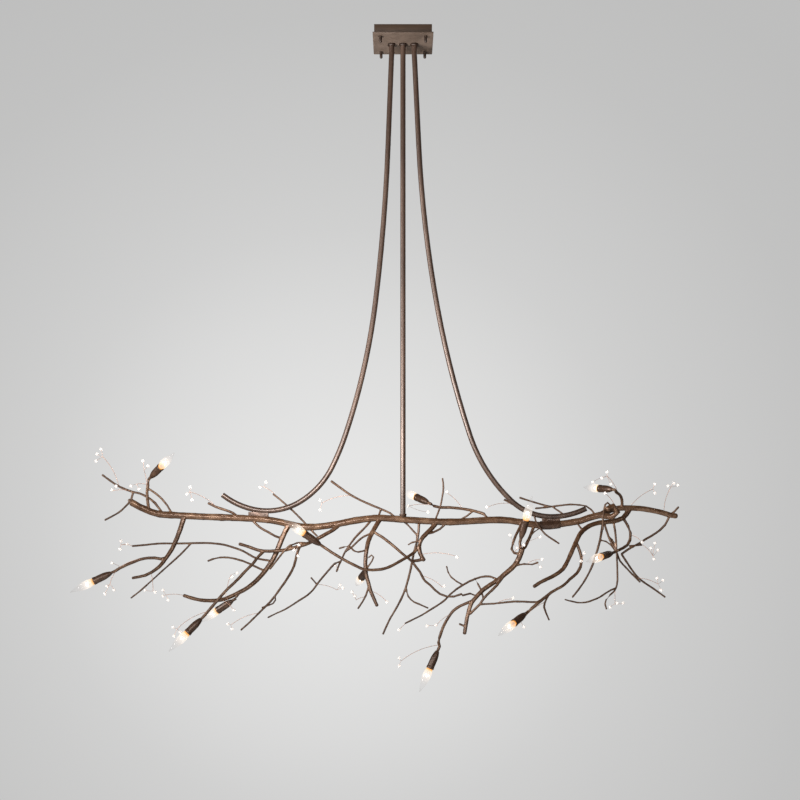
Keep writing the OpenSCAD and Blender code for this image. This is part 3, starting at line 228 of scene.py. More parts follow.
# painted light and shade: the plate and the box are one bronze; the plate takes the lit tones of its
# underside, and its upright sides and the box take shaded tones
LIT_PLATE_MAT = patina("plate_bronze_painted_light", lin(86, 72, 62), lin(102, 88, 78), lin(118, 103, 93), (0.42, 0.55), 0.3,
                   scale=0.8, relief=0.5, grain=0.25, sides=lin(58, 43, 32))
SHADED_BOX_MAT = patina("box_bronze_painted_shade", lin(50, 36, 25), lin(62, 46, 33), lin(78, 59, 44), (0.42, 0.55), 0.3,
                 stretch=(0.15, 1, 1), relief=0.5, grain=0.3)
STEEL = metal("zinc_steel", (0.55, 0.56, 0.58), 0.32)
BRASS = metal("turned_brass", (0.72, 0.52, 0.22), 0.25, (1, 1, 6))
COPPER = metal("copper_wire", (0.60, 0.36, 0.26), 0.42)
LEAD = plastic("wire_insulation", (0.03, 0.03, 0.035), 0.45)
NUT = plastic("connector_plastic", (0.62, 0.2, 0.04), 0.4)
HOLDER = plastic("holder_plastic", (0.025, 0.02, 0.017), 0.5)


def crystal_material():
    """glass of the beads, with a faint painted sparkle from an emission glow"""
    m = Mat("cut_crystal_painted_glints").set(Metallic=0.0, Roughness=0.12, IOR=1.45, Transmission_Weight=0.6)
    n = m.noise(500, 2)
    m.to(m.ramp(n, [(0.3, (0.93, 0.91, 0.90)), (0.7, (1.0, 0.97, 0.94))]), "Base Color")
    # painted glints: the beads give off a faint light, though they are no lamps
    m.to(m.ramp(m.noise(220, 1), [(0.4, (0.22, 0.18, 0.16)), (0.65, (0.42, 0.37, 0.33))]), "Emission Color")
    m.set(Emission_Strength=0.55)
    return m.m


def glass_material():
    """clear envelope: lit orange at the neck, white around the filament, clear towards the tip"""
    m = Mat("bulb_glass").set(Metallic=0.0, Roughness=0.04, IOR=1.45)
    uv = m.t.nodes.new("ShaderNodeSeparateXYZ")
    m.link(m.coord.outputs["UV"], uv.inputs[0])
    h = uv.outputs["Y"]
    tint = [(0.0, (0.5, 0.22, 0.06)), (0.16, (0.2, 0.15, 0.1)), (0.4, (0.12, 0.11, 0.1)),
            (1.0, (0.1, 0.09, 0.09))]
    light = [(0.0, (0.55, 0.17, 0.02)), (0.11, (0.88, 0.34, 0.05)), (0.145, (1.0, 0.52, 0.15)),
             (0.18, (1.0, 0.78, 0.54)), (0.25, (1.0, 0.88, 0.76)), (0.38, (1.0, 0.93, 0.85)),
             (0.50, (0.90, 0.80, 0.72)), (0.64, (0.60, 0.52, 0.47)), (0.80, (0.30, 0.26, 0.24)),
             (1.0, (0.2, 0.18, 0.17))]
    m.to(m.ramp(h, tint), "Base Color")
    m.to(m.ramp(h, light), "Emission Color")
    m.set(Emission_Strength=0.95)
    lw = m.t.nodes.new("ShaderNodeLayerWeight")
    lw.inputs["Blend"].default_value = 0.35
    edge = m.ramp(lw.outputs["Facing"], [(0.0, 0.0), (0.6, 0.10), (0.9, 0.6), (1.0, 0.9)])
    body = m.ramp(h, [(0.0, 0.95), (0.14, 0.85), (0.20, 0.48), (0.28, 0.42), (0.38, 0.5), (0.50, 0.26),
                      (0.64, 0.1), (0.8, 0.05), (1.0, 0.16)])
    alpha = m.math("MINIMUM", m.math("ADD", m.math("MULTIPLY", edge, 0.38), body), 1.0)
    m.to(alpha, "Alpha")
    m.bump((m.noise(60, 2), 0.1, 0.0005))
    return m.m


def glow_material(name, col, strength):
    m = Mat(name).set(Metallic=0.0, Roughness=0.4)
    tint = m.ramp(m.noise(120, 2), [(0.3, tuple(c * 0.9 for c in col)), (0.7, col)])
    m.to(tint, "Base Color")
    m.to(tint, "Emission Color")
    m.set(Emission_Strength=strength)
    return m.m


CRYSTAL = crystal_material()
GLASS = glass_material()
FILAMENT = glow_material("filament", (1.0, 0.88, 0.70), 22.0)
SUPPORT = metal("filament_support", (0.5, 0.48, 0.45), 0.3)


# ---------------------------------------------------------------- mesh helpers
WELD = 2e-6
BEVEL_FROM = 40        # degrees


def read(items, attribute, width=1, kind=float):
    """one row for each of a mesh's vertices, faces or loops"""
    out = np.empty(len(items) * width, kind)
    items.foreach_get(attribute, out)
    return out.reshape(-1, width)


def add_mesh(name, me, mat):
    me.materials.clear()
    me.materials.append(mat)
    ob = bpy.data.objects.new(name, me)
    scene.collection.objects.link(ob)
    return ob


def from_arrays(name, verts, faces, mat, angle=None):
    """a smooth piece, with sharp edges past the angle, in degrees"""
    me = bpy.data.meshes.new(name)
    me.from_pydata([tuple(v) for v in verts], [], [tuple(f) for f in faces])
    me.shade_smooth()
    if angle:
        me.set_sharp_from_angle(angle=math.radians(angle))
    return add_mesh(name, me, mat)


def baked(ob):
    """applies the modifiers of ob to its mesh"""
    dg = bpy.context.evaluated_depsgraph_get()
    me = bpy.data.meshes.new_from_object(ob.evaluated_get(dg))
    old = ob.data
    ob.modifiers.clear()
    ob.data = me
    bpy.data.meshes.remove(old)
    return ob


def finish_piece(ob, body, node):
    """the piece moves with body and stands for a CAD node"""
    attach(ob, body)
    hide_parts(node)


def dressed(node, mat, bevel, angle=35):
    """a copy of a CAD node with its edges broken, in place of the node"""
    bm = bmesh.new()
    bm.from_mesh(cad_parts[node].data)
    bmesh.ops.remove_doubles(bm, verts=bm.verts, dist=WELD)
    bmesh.ops.dissolve_limit(bm, angle_limit=math.radians(0.5), verts=bm.verts, edges=bm.edges)
    me = bpy.data.meshes.new(node + "_dressed")
    bm.to_mesh(me)
    bm.free()
    ob = add_mesh(node + "_dressed", me, mat)
    b = ob.modifiers.new("edges", "BEVEL")
    b.width = bevel
    b.segments = 3
    b.limit_method = "ANGLE"
    b.angle_limit = math.radians(BEVEL_FROM)
    baked(ob)
    ob.data.shade_smooth()
    ob.data.set_sharp_from_angle(angle=math.radians(angle))
    finish_piece(ob, BODY, node)


def paint(mat, *nodes):
    """a material on CAD nodes that stay as they are"""
    for node in nodes:
        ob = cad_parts[node]
        for s in ob.material_slots:
            s.material = mat
        if not ob.material_slots:
            ob.data.materials.append(mat)


# ---------------------------------------------------------------- the forged branch
BRANCH = [
    "trunk", "branch_left_tip", "limb_left_outer", "limb_left_long", "limb_left_middle", "limb_centre",
    "limb_centre_right", "twigs_centre", "arm_centre_top", "limb_low", "limb_right", "limb_right_front",
    "twigs_right", "twigs_top",
]
# the trunk's centre line on the layout grid
TRUNK_ROUTE = [
    (-272, -8, 16), (-263, -7, 11), (-253, -6, 6.5), (-243, -5, 3.5), (-233, -4, 3), (-223, -3, 2.5),
    (-193, -1, 1), (-163, 0, 0), (-138, 0, -1.5), (-123, 0, -4), (-103, 1, -8.5), (-88, 1, -9),
    (-68, 1, -6.5), (-48, 0, -2.5), (-28, 0, 0), (-13, 0, -0.5), (7, 0, -2), (47, 0, -4), (87, 0, -2),
    (107, 0, -2.5), (127, 0, -6), (142, 0, -7.5), (157, 0, -6), (177, -1, -3), (187, -2, 0.5), (197, -3, 3),
]
VOXEL = 0.0014
BORE_REACH = 0.0076            # from the trunk's line to just outside its bore
SMOOTH_IN, SMOOTH_OUT = 0.55, -0.5
THIN_BEND, THIN_SPAN = 70, 110     # surface bend, per metre, where thin starts, and until it is full
LIFT, LUMP_LIFT, STREAK_LIFT, WIDE_LIFT = 0.00018, 0.00042, 0.00011, 0.00012
# rounds of averaging
SMOOTH_STEPS, DIRECTION_STEPS, THIN_STEPS, STREAK_STEPS, BLUR_STEPS, WIDE_STEPS = 14, 16, 20, 22, 3, 60
STREAK_SEED = 7


def edge_pairs(faces):
    e = np.vstack([faces[:, [0, 1]], faces[:, [1, 2]], faces[:, [2, 3]], faces[:, [3, 0]]])
    return np.unique(np.sort(e, axis=1), axis=0)


def spread(values, edges, weight, steps=1):
    """averages over the neighbours, steps times; weight has one number for each end of an edge"""
    count = len(values)
    for step in range(steps):
        v = values if values.ndim > 1 else values[:, None]
        total = np.zeros_like(v)
        share = np.zeros(count)
        for a, b in ((0, 1), (1, 0)):
            w = weight[:, a]
            for c in range(v.shape[1]):
                total[:, c] += np.bincount(edges[:, a], v[edges[:, b], c] * w, count)
            share += np.bincount(edges[:, a], w, count)
        out = total / np.maximum(share, 1e-9)[:, None]
        values = out if values.ndim > 1 else out[:, 0]
    return values


def vertex_normals(verts, faces):
    d1 = verts[faces[:, 2]] - verts[faces[:, 0]]
    d2 = verts[faces[:, 3]] - verts[faces[:, 1]]
    fn = np.cross(d1, d2)
    out = np.zeros_like(verts)
    for k in range(4):
        for c in range(3):
            out[:, c] += np.bincount(faces[:, k], fn[:, c], len(verts))
    return out / np.maximum(np.linalg.norm(out, axis=1), 1e-12)[:, None]


def cad_branch():
    """the branch's CAD nodes as one mesh, their surface as a tree, and the node of each of its faces"""
    tris, verts, owner, base = [], [], [], 0
    bm = bmesh.new()
    for i, n in enumerate(BRANCH):
        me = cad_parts[n].data
        bm.from_mesh(me)
        me.calc_loop_triangles()
        verts.append(read(me.vertices, "co", 3))
        tris.append(read(me.loop_triangles, "vertices", 3, int) + base)
        owner += [i] * len(me.loop_triangles)
        base += len(me.vertices)
    tree = BVHTree.FromPolygons([tuple(v) for v in np.vstack(verts)], [tuple(t) for t in np.vstack(tris)])
    whole = bpy.data.meshes.new("whole_branch")
    bm.to_mesh(whole)
    bm.free()
    return whole, tree, owner


def voxel_skin(mesh):
    """vertices and four-sided faces of one skin over the mesh"""
    ob = add_mesh("whole_branch", mesh, BRANCH_MAT)
    skin = ob.modifiers.new("skin", "REMESH")
    skin.mode = "VOXEL"
    skin.voxel_size = VOXEL
    skin.adaptivity = 0
    me = baked(ob).data
    assert (read(me.polygons, "loop_total", 1, int) == 4).all()
    co = read(me.vertices, "co", 3)
    faces = read(me.loops, "vertex_index", 1, int).reshape(-1, 4)
    bpy.data.objects.remove(ob)
    return co, faces


def outside_bore(points):
    """false in the bore of the trunk, which isn't seen"""
    line = np.array([place(p) for p in TRUNK_ROUTE])
    near = np.full(len(points), 1e9)
    for a, b in zip(line[:-1], line[1:]):
        d = b - a
        t = np.clip(((points - a) @ d) / (d @ d), 0, 1)
        near = np.minimum(near, np.linalg.norm(points - a - t[:, None] * d, axis=1))
    return near > BORE_REACH


def limb_direction(nor, edges, flat):
    """direction of the limb at each vertex: where the surface bends least"""
    pairs = ((0, 0), (0, 1), (0, 2), (1, 1), (1, 2), (2, 2))
    six = spread(np.stack([nor[:, i] * nor[:, j] for i, j in pairs], 1), edges, flat, DIRECTION_STEPS)
    tensor = six[:, [0, 1, 2, 1, 3, 4, 2, 4, 5]].reshape(-1, 3, 3)
    return np.linalg.eigh(tensor)[1][:, :, 0]


def thinness(co, nor, edges, flat):
    """0 on the thick limbs to 1 on the thin twigs, from how fast the surface turns"""
    count = len(co)
    e = co[edges[:, 1]] - co[edges[:, 0]]
    turn = ((nor[edges[:, 1]] - nor[edges[:, 0]]) * e).sum(1) / np.maximum((e * e).sum(1), 1e-12)
    bend = np.zeros(count)
    share = np.zeros(count)
    for k in (0, 1):
        bend += np.bincount(edges[:, k], turn, count)
        share += np.bincount(edges[:, k], minlength=count)
    bend = spread(bend / np.maximum(share, 1), edges, flat, THIN_STEPS)
    return np.clip((bend - THIN_BEND) / THIN_SPAN, 0, 1)


def lengthwise(co, run, edges):
    """weights that are high for edges along the limb"""
    way = co[edges[:, 1]] - co[edges[:, 0]]
    way /= np.maximum(np.linalg.norm(way, axis=1), 1e-9)[:, None]
    return np.stack([np.abs((way * run[edges[:, k]]).sum(1)) ** 8 + 0.004 for k in (0, 1)], 1)


def levelled(values):
    return (values - values.mean()) / values.std()


def lump(p):
    v = Vector(p)
    return noise.noise(v * 55) * 0.9 + noise.noise(v * 130 + Vector((9, 4, 7))) * 0.5


def forged_branch():
    """one smooth skin over all limbs, with hammered lumps and streaks, cut up by CAD node"""
    whole, tree, owner = cad_branch()
    co, faces = voxel_skin(whole)
    mid = co[faces].mean(1)
    node_of = np.array([owner[tree.find_nearest(Vector(p))[2]] for p in mid])
    keep = outside_bore(mid)

    edges = edge_pairs(faces)
    flat = np.ones((len(edges), 2))
    for step in range(SMOOTH_STEPS):
        co = co + (SMOOTH_IN if step % 2 == 0 else SMOOTH_OUT) * (spread(co, edges, flat) - co)
    nor = vertex_normals(co, faces)
    slim = thinness(co, nor, edges, flat)

    weight = lengthwise(co, limb_direction(nor, edges, flat), edges)
    rng = np.random.default_rng(STREAK_SEED)
    streak = levelled(spread(rng.random(len(co)), edges, weight, STREAK_STEPS))
    wide = spread(rng.random(len(co)), edges, flat, BLUR_STEPS)
    wide = levelled(spread(wide, edges, weight, WIDE_STEPS))
    lumps = np.array([lump(p) for p in co])
    fine_rise = np.clip(streak, -2.2, 2.2) * STREAK_LIFT
    rise = LIFT + lumps * LUMP_LIFT + fine_rise + np.clip(wide, -2, 2) * WIDE_LIFT
    co = co + nor * rise[:, None]
    nor = vertex_normals(co, faces)
    tone = np.clip(0.5 + 0.11 * streak + 0.12 * wide + 0.08 * lumps, 0, 1)

    for i, n in enumerate(BRANCH):
        mine = faces[(node_of == i) & keep]
        used, index = np.unique(mine, return_inverse=True)
        me = bpy.data.meshes.new(n + "_forged")
        me.from_pydata(co[used].tolist(), [], index.reshape(-1, 4).tolist())
        me.shade_smooth()
        me.normals_split_custom_set_from_vertices(nor[used].tolist())
        for label, values in (("streak", tone), ("thin", slim)):
            at = me.attributes.new(label, "FLOAT", "POINT")
            at.data.foreach_set("value", values[used].astype(np.float32))
        finish_piece(add_mesh(n + "_forged", me, BRANCH_MAT), BODY, n)


forged_branch()


# ---------------------------------------------------------------- lamps
# where each lamp's cup starts on the layout grid, and the way that it points
LAMPS = [
    ((-252, -10, 41), (62, -60, 50)), ((-292, -14, -55), (-90, -4, -43)),
    ((-202, -27, -101), (-69, -15, -71)), ((-171, -15, -83), (-78, 35, -50)),
    ((-83, -24, -26.5), (-80, -20, 56)), ((25, 9, 15.5), (-58, 72, 29)),
    ((-37, -10, -53), (-25, 90, -36)), ((34.5, -11, -133), (-40, -6, -90)),
    ((122, -39, -96), (-62, -63, -42)), ((118, -13, -20), (22, -28, 92)),
    ((209, -13, -35), (-66, -70, -18)), ((209, -15, 28.5), (-52, 85, 8)),
]
CAP_BOTTOM, CAP_L, CAP_R, GLASS_R, GLASS_L = 0.0291, 0.019, 0.0059, 0.0126, 0.085
THREAD_PITCH, THREAD_DEPTH = 0.0026, 0.00045
FILAMENT_R, FILAMENT_HALF, FILAMENT_UP, SUPPORT_R = 0.00055, 0.0042, 0.027, 0.0003
# (share of GLASS_R, share of GLASS_L)
GLASS_OUTLINE = [
    (0.48, 0), (0.56, 0.06), (0.82, 0.16), (0.98, 0.28), (1, 0.36), (0.93, 0.5), (0.72, 0.66), (0.42, 0.82),
    (0.18, 0.94), (0.06, 1),
]


def lathe(profile, sides=40, close_top=False, close_bottom=False, warp=None):
    """rings about Z from (radius, height) pairs, and the share of the height of each vertex"""
    verts, faces, share = [], [], []
    lo, hi = profile[0][1], profile[-1][1]
    for r, z in profile:
        for k in range(sides):
            a = 2 * math.pi * k / sides
            rr = r if warp is None else warp(r, z, a)
            verts.append((rr * math.cos(a), rr * math.sin(a), z))
            share.append((z - lo) / max(hi - lo, 1e-9))
    for i in range(len(profile) - 1):
        for k in range(sides):
            j = (k + 1) % sides
            faces.append((i * sides + k, i * sides + j, (i + 1) * sides + j, (i + 1) * sides + k))
    if close_bottom:
        faces.append(tuple(range(sides - 1, -1, -1)))
    if close_top:
        n = (len(profile) - 1) * sides
        faces.append(tuple(range(n, n + sides)))
    return verts, faces, share


def between(a, b, c, d, t):
    """from b to c on a smooth curve that also passes a and d"""
    bend = 2 * a - 5 * b + 4 * c - d
    return 0.5 * (2 * b + (c - a) * t + bend * t * t + (3 * b - a - 3 * c + d) * t ** 3)


def smooth_outline(points, per=5):
    """a smooth curve through points, with per steps to each"""
    out = []
    for i in range(len(points) - 1):
        p = [points[max(i - 1, 0)], points[i], points[i + 1], points[min(i + 2, len(points) - 1)]]
        for j in range(per):
            out.append(tuple(between(*four, j / per) for four in zip(*p)))
    return out + [points[-1]]


def wire(points, r, sides=8):
    """a round wire through points"""
    pts = [Vector(p) for p in points]
    verts, faces = [], []
    for i, p in enumerate(pts):
        d = (pts[min(i + 1, len(pts) - 1)] - pts[max(i - 1, 0)]).normalized()
        u = d.orthogonal().normalized() if i == 0 else (u - d * u.dot(d)).normalized()
        v = d.cross(u)
        for k in range(sides):
            a = 2 * math.pi * k / sides
            verts.append(p + r * (math.cos(a) * u + math.sin(a) * v))
    for i in range(len(pts) - 1):
        for k in range(sides):
            j = (k + 1) % sides
            faces.append((i * sides + k, i * sides + j, (i + 1) * sides + j, (i + 1) * sides + k))
    faces += [tuple(range(sides - 1, -1, -1)), tuple(range((len(pts) - 1) * sides, len(pts) * sides))]
    return verts, faces


def lamp_matrix(i):
    foot, aim = LAMPS[i]
    turn = Vector(aim).normalized().to_track_quat("Z", "X")
    return Matrix.Translation(place(foot)) @ turn.to_matrix().to_4x4()


def thread(r, z, a):
    """the screw thread's groove, on the cap's full width only"""
    turn = 2 * math.pi * z / THREAD_PITCH - a
    return r if r < CAP_R else r - THREAD_DEPTH * (0.5 + 0.5 * math.cos(turn))


def lit_bulb(i):
    name = "bulb_%02d" % (i + 1)
    m = lamp_matrix(i)
    top = CAP_BOTTOM + CAP_L

    def part(label, verts, faces, mat, angle=None):
        placed = [m @ Vector(p) for p in verts]
        finish_piece(from_arrays(name + label, placed, faces, mat, angle), name, name)

    # glass envelope
    outline = smooth_outline([(r * GLASS_R, top + z * GLASS_L) for r, z in GLASS_OUTLINE])
    outline[-1] = (GLASS_R * 0.05, top + GLASS_L)
    v, f, share = lathe(outline, close_top=True)
    me = bpy.data.meshes.new(name + "_glass")
    me.from_pydata([tuple(m @ Vector(p)) for p in v], [], f)
    me.shade_smooth()
    uv = me.uv_layers.new(name="height")
    for loop in me.loops:
        uv.data[loop.index].uv = (0.5, share[loop.vertex_index])
    finish_piece(add_mesh(name + "_glass", me, GLASS), name, name)
    # screw cap with its thread and centre contact
    prof = [(0.0022, CAP_BOTTOM - 0.0008), (0.0024, CAP_BOTTOM), (0.0040, CAP_BOTTOM + 0.0012)]
    prof += [(CAP_R, CAP_BOTTOM + 0.0022 + 0.00042 * k) for k in range(39)]
    v, f, share = lathe(prof, 36, True, True, thread)
    part("_cap", v, f, BRASS, 50)
    # glass foot, filament and its two supports
    foot = [(0.0044, top + 0.0002), (0.0036, top + 0.004), (0.0024, top + 0.010), (0.0016, top + 0.016)]
    v, f, share = lathe(foot, 24, True)
    part("_foot", v, f, SUPPORT, angle=60)
    zig = []
    for k in range(41):
        a = k / 40 * math.pi * 2
        height = top + FILAMENT_UP + 0.007 * math.sin(a * 0.5)
        zig.append((FILAMENT_HALF * math.cos(a * 0.5), 0.0012 * math.sin(a * 4), height))
    v, f = wire(zig, FILAMENT_R, 6)
    part("_filament", v, f, FILAMENT)
    for s, side in ((-1, "a"), (1, "b")):
        way = [(s * 0.0009, 0, top + 0.014), (s * 0.0026, 0, top + 0.020),
               (s * FILAMENT_HALF, 0, top + 0.0272)]
        v, f = wire(way, SUPPORT_R, 6)
        part("_support_" + side, v, f, SUPPORT)


for i in range(len(LAMPS)):
    lit_bulb(i)
    dressed("cup_%02d" % (i + 1), CUP_MAT, 0.0003, 50)


# ---------------------------------------------------------------- canopy, tubes and their fixings
dressed("canopy_box", SHADED_BOX_MAT, 0.0009)
dressed("canopy_plate", LIT_PLATE_MAT, 0.0006)
dressed("stem_saddles", CUP_MAT, 0.0006)
dressed("centre_flange", CUP_MAT, 0.0006)
# painted shadow: the collars take the darkest bronze to stand for the shade round the tube tops
dressed("stem_collars", FINIAL_AND_SHADOW_MAT, 0.0004)
dressed("finial_nuts", FINIAL_AND_SHADOW_MAT, 0.0003)
dressed("saddle_screws", CUP_MAT, 0.0004)
paint(TUBE_MAT, "stem_left", "stem_right", "stem_centre")
paint(STEEL, "mounting_bracket", "bracket_studs", "stem_locknuts")
paint(BRASS, "stem_nipples")
paint(LEAD, "stem_wires", "supply_leads", "trunk_loom")
paint(NUT, "wire_nuts")
paint(HOLDER, "lampholders")


# ---------------------------------------------------------------- copper wires of the sprays
# each spray's start and end on the layout grid, and its beads
SPRAYS = [
    ((-284, 11, 31.5), (-300, 14, 61), [(-302, 13, 69), (-306, 14, 64), (-307, 15, 57)]),
    ((-273, 7, 27), (-291, 6, 27), [(-291, 6, 28), (-287, 5, 32)]),
    ((-255, -9, 33), (-266, -13, 34), [(-272, -13, 32), (-264, -14, 29)]),
    ((-256, -8.5, 29), (-259, -15, 48), [(-260, -16, 57), (-255, -15, 52)]),
    ((-270, 2, -28), (-282, 2, -27), [(-283, 1, -31), (-282, 2, -23), (-276, 3, -26)]),
    ((-286, -14, -52), (-293, -18, -66), [(-298, -17, -76), (-296, -18, -68), (-289, -19, -72)]),
    ((-258, -16, -40.5), (-283, -20, -49), [(-291, -21, -45)]),
    ((-252, -21, -54.5), (-250, -25, -73), [(-248, -24, -74), (-258, -26, -72)]),
    ((-218, -9, -78), (-237, -12, -77), [(-240, -13, -78), (-240, -12, -72), (-235, -14, -82)]),
    ((-197, -26, -94), (-226, -30, -111), [(-229, -31, -118), (-230, -30, -109), (-223, -29, -114)]),
    ((-187, -5, 11.5), (-213, -8, 26), [(-213, -8, 31), (-216, -9, 24), (-211, -7, 18)]),
    ((-126, 5, 21), (-139, 6, 31), [(-143, 7, 31), (-137, 6, 36)]),
    ((-51, 4, 22.5), (-81, 6, 15), [(-83, 6, 8), (-83, 7, 18)]),
    ((-144, 11, -95), (-172, 14, -107), [(-175, 14, -106), (-171, 15, -111)]),
    ((-176, -23, -71.5), (-172, -28, -57), [(-166, -28, -55), (-171, -29, -59)]),
    ((-181, -13, -82), (-171, -21, -90), [(-169, -22, -92), (-178, -21, -76)]),
    ((-103, -11, -28), (-107, -16, -31), [(-109, -17, -32), (-105, -17, -38), (-104, -16, -27)]),
    ((-86, 12, -66.5), (-66, 15, -72), [(-60, 16, -70), (-63, 15, -67)]),
    ((-66, 14, -52), (-66, 18, -49), [(-68, 18, -47), (-65, 19, -51)]),
    ((18, -10, -36.5), (52, -13, -38), [(54, -13, -39)]), ((59, 7, 9.5), (44, 4, 25), [(44, 4, 26)]),
    ((31, 9, 12), (6, 5, 12), [(5, 4, 12), (25, 8, 6)]), ((20, -12, -58), (39, -16, -69), [(41, -16, -68)]),
    ((-32, -19, -73), (-17, -22, -83), [(-16, -22, -84)]),
    ((-38, -18, -79), (-47, -20, -82), [(-51, -21, -74), (-48, -20, -78)]),
    ((48, -15.5, -96), (33, -18, -108), [(24, -18, -108), (33, -18, -107)]),
    ((10, -16, -101.5), (-3, -18, -111), [(-4, -18, -112)]),
    ((35.2, -12, -127), (-2, -16, -143), [(-4, -17, -148), (-4, -16, -140)]),
    ((108, 2, 14.5), (85, -2, 11), [(84, -2, 11)]),
    ((124, -15.3, -46.2), (132, -18, -42), [(139, -19.5, -41.4), (137.5, -17, -49)]),
    ((94, -26, -85), (109, -28, -81), [(110, -28, -80)]),
    ((142, -31, -84), (118, -34, -104), [(115, -34, -104), (121, -35, -109)]),
    ((179, -17, -44), (180, -20, -37), [(181, -20, -35), (178, -21, -43)]),
    ((212, -12, 11.5), (203, -17, 24), [(202, -17, 25)]),
    ((215, -6, 25), (204, -8, 42), [(204, -8, 46), (199, -9, 40), (190, -10, 36), (208, -8, 34)]),
    ((227, 7, 11), (250, 4, 29), [(252, 4, 34), (252, 3, 25)]),
    ((261, 10, 6), (268, 8, 31), [(271, 7, 35), (275, 9, 33), (265, 8, 32)]),
    ((228, 3, -17), (237, 0, -22), [(239, 0, -24)]),
    ((238, 9, -26), (250, 6, -38), [(251, 6, -41), (255, 7, -32), (252, 6, -25), (248, 5, -30)]),
    ((233, 2.5, -60), (255, 0, -66), [(258, 0, -72), (260, 1, -62), (254, 0, -60)]),
    ((212, -4, -72), (212, -7, -86), [(207, -7, -89), (220, -7, -85), (214, -8, -85)]),
    ((111, -12, -35.5), (114, -15, -31),
     [(114, -16, -30), (121, -15, -27), (137, -14, -19), (107, -14, -17)]),
]
SPRAY_BOW, TWIST_PITCH = 0.07, 0.0055
STRAND_R, STRAND_OFF = 0.00042, 0.00036
STEM_STEPS = 8


def bowed(p, q, count):
    """a line from p to q that rises a little between them"""
    run = (q - p).normalized()
    rise = (Vector((0, 0, 1)) - run * run.z).normalized()
    return [p.lerp(q, i / count) + rise * (4 * (q - p).length * SPRAY_BOW * (i / count) * (1 - i / count))
            for i in range(count + 1)]


def twisted(line, r, off, phase):
    """one of two wires wound round each other along a line"""
    out, gone = [], 0.0
    for i, p in enumerate(line):
        if i:
            gone += (p - line[i - 1]).length
        d = (line[min(i + 1, len(line) - 1)] - line[max(i - 1, 0)]).normalized()
        u = d.cross(Vector((0, 1, 0))).normalized()
        a = 2 * math.pi * gone / TWIST_PITCH + phase
        out.append(p + off * (math.cos(a) * u + math.sin(a) * d.cross(u)))
    return wire(out, r, 6)


def copper_sprays():
    verts, faces = [], []

    def add(v, f):
        faces.extend(tuple(i + len(verts) for i in face) for face in f)
        verts.extend(v)
    for start, end, beads in SPRAYS:
        p, q = place(start), place(end)
        line = bowed(p, q, max(8, int((q - p).length / TWIST_PITCH * 8)))
        for phase in (0, math.pi):
            add(*twisted(line, STRAND_R, STRAND_OFF, phase))
        for k, b in enumerate(beads):
            to = place(b)
            sag = Vector((0, 0, -0.06 if k % 2 else 0.05)) * (to - q).length
            curve = [q.lerp(to, t / STEM_STEPS) + sag * (4 * t / STEM_STEPS * (1 - t / STEM_STEPS))
                     for t in range(STEM_STEPS + 1)]
            add(*wire([line[-2]] + curve, STRAND_R, 6))
    finish_piece(from_arrays("copper_sprays", verts, faces, COPPER), BODY, "spray_wires")


copper_sprays()


# ---------------------------------------------------------------- cut beads
def cut_beads():
    """a facetted bead in place of each round one, turned its own way"""
    bm = bmesh.new()
    bm.from_mesh(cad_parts["spray_beads"].data)
    bmesh.ops.remove_doubles(bm, verts=bm.verts, dist=WELD)
    seen, centres = set(), []
    for v in bm.verts:
        if v.index in seen:
            continue
        stack, island = [v], []
        seen.add(v.index)
        while stack:
            a = stack.pop()
            island.append(a.co.copy())
            for e in a.link_edges:
                b = e.other_vert(a)
                if b.index not in seen:
                    seen.add(b.index)
                    stack.append(b)
        lo = Vector([min(c[k] for c in island) for k in range(3)])
        hi = Vector([max(c[k] for c in island) for k in range(3)])
        centres.append(((lo + hi) / 2, (hi - lo).x / 2))
    bm.free()
    out = bmesh.new()
    for k, (c, r) in enumerate(centres):
        turn = Matrix.Rotation(k * 1.7, 4, Vector((math.sin(k), math.cos(k * 2.3), 0.4)).normalized())
        bmesh.ops.create_icosphere(out, subdivisions=2, radius=r * 0.99, matrix=Matrix.Translation(c) @ turn)
    me = bpy.data.meshes.new("cut_beads")
    out.to_mesh(me)
    out.free()
    finish_piece(add_mesh("cut_beads", me, CRYSTAL), BODY, "spray_beads")


cut_beads()


# ---------------------------------------------------------------- studio
BACKDROP_SIZE = (24, 16)
BRIGHT_SPOT = (0.518, -0.089)      # offset of the backdrop's lightest place
FADE_REACH = 6.0                   # metres over which its tones run
UNSEEN_TONE = 0.09                 # for reflections and bounced light


def plane(name, size, at, turn):
    bm = bmesh.new()
    bmesh.ops.create_grid(bm, x_segments=1, y_segments=1, size=0.5)
    me = bpy.data.meshes.new(name)
    bm.to_mesh(me)
    bm.free()
    ob = bpy.data.objects.new(name, me)
    ob.scale = (size[0], size[1], 1)
    ob.location = at
    ob.rotation_euler = turn
    scene.collection.objects.link(ob)
    return ob


def seen_ray(tree):
    """1 for what the camera sees, also through glass, and 0 for other rays"""
    path = tree.nodes.new("ShaderNodeLightPath")
    either = tree.nodes.new("ShaderNodeMath")
    either.operation = "MAXIMUM"
    tree.links.new(path.outputs["Is Camera Ray"], either.inputs[0])
    tree.links.new(path.outputs["Is Transmission Ray"], either.inputs[1])
    return either.outputs[0]


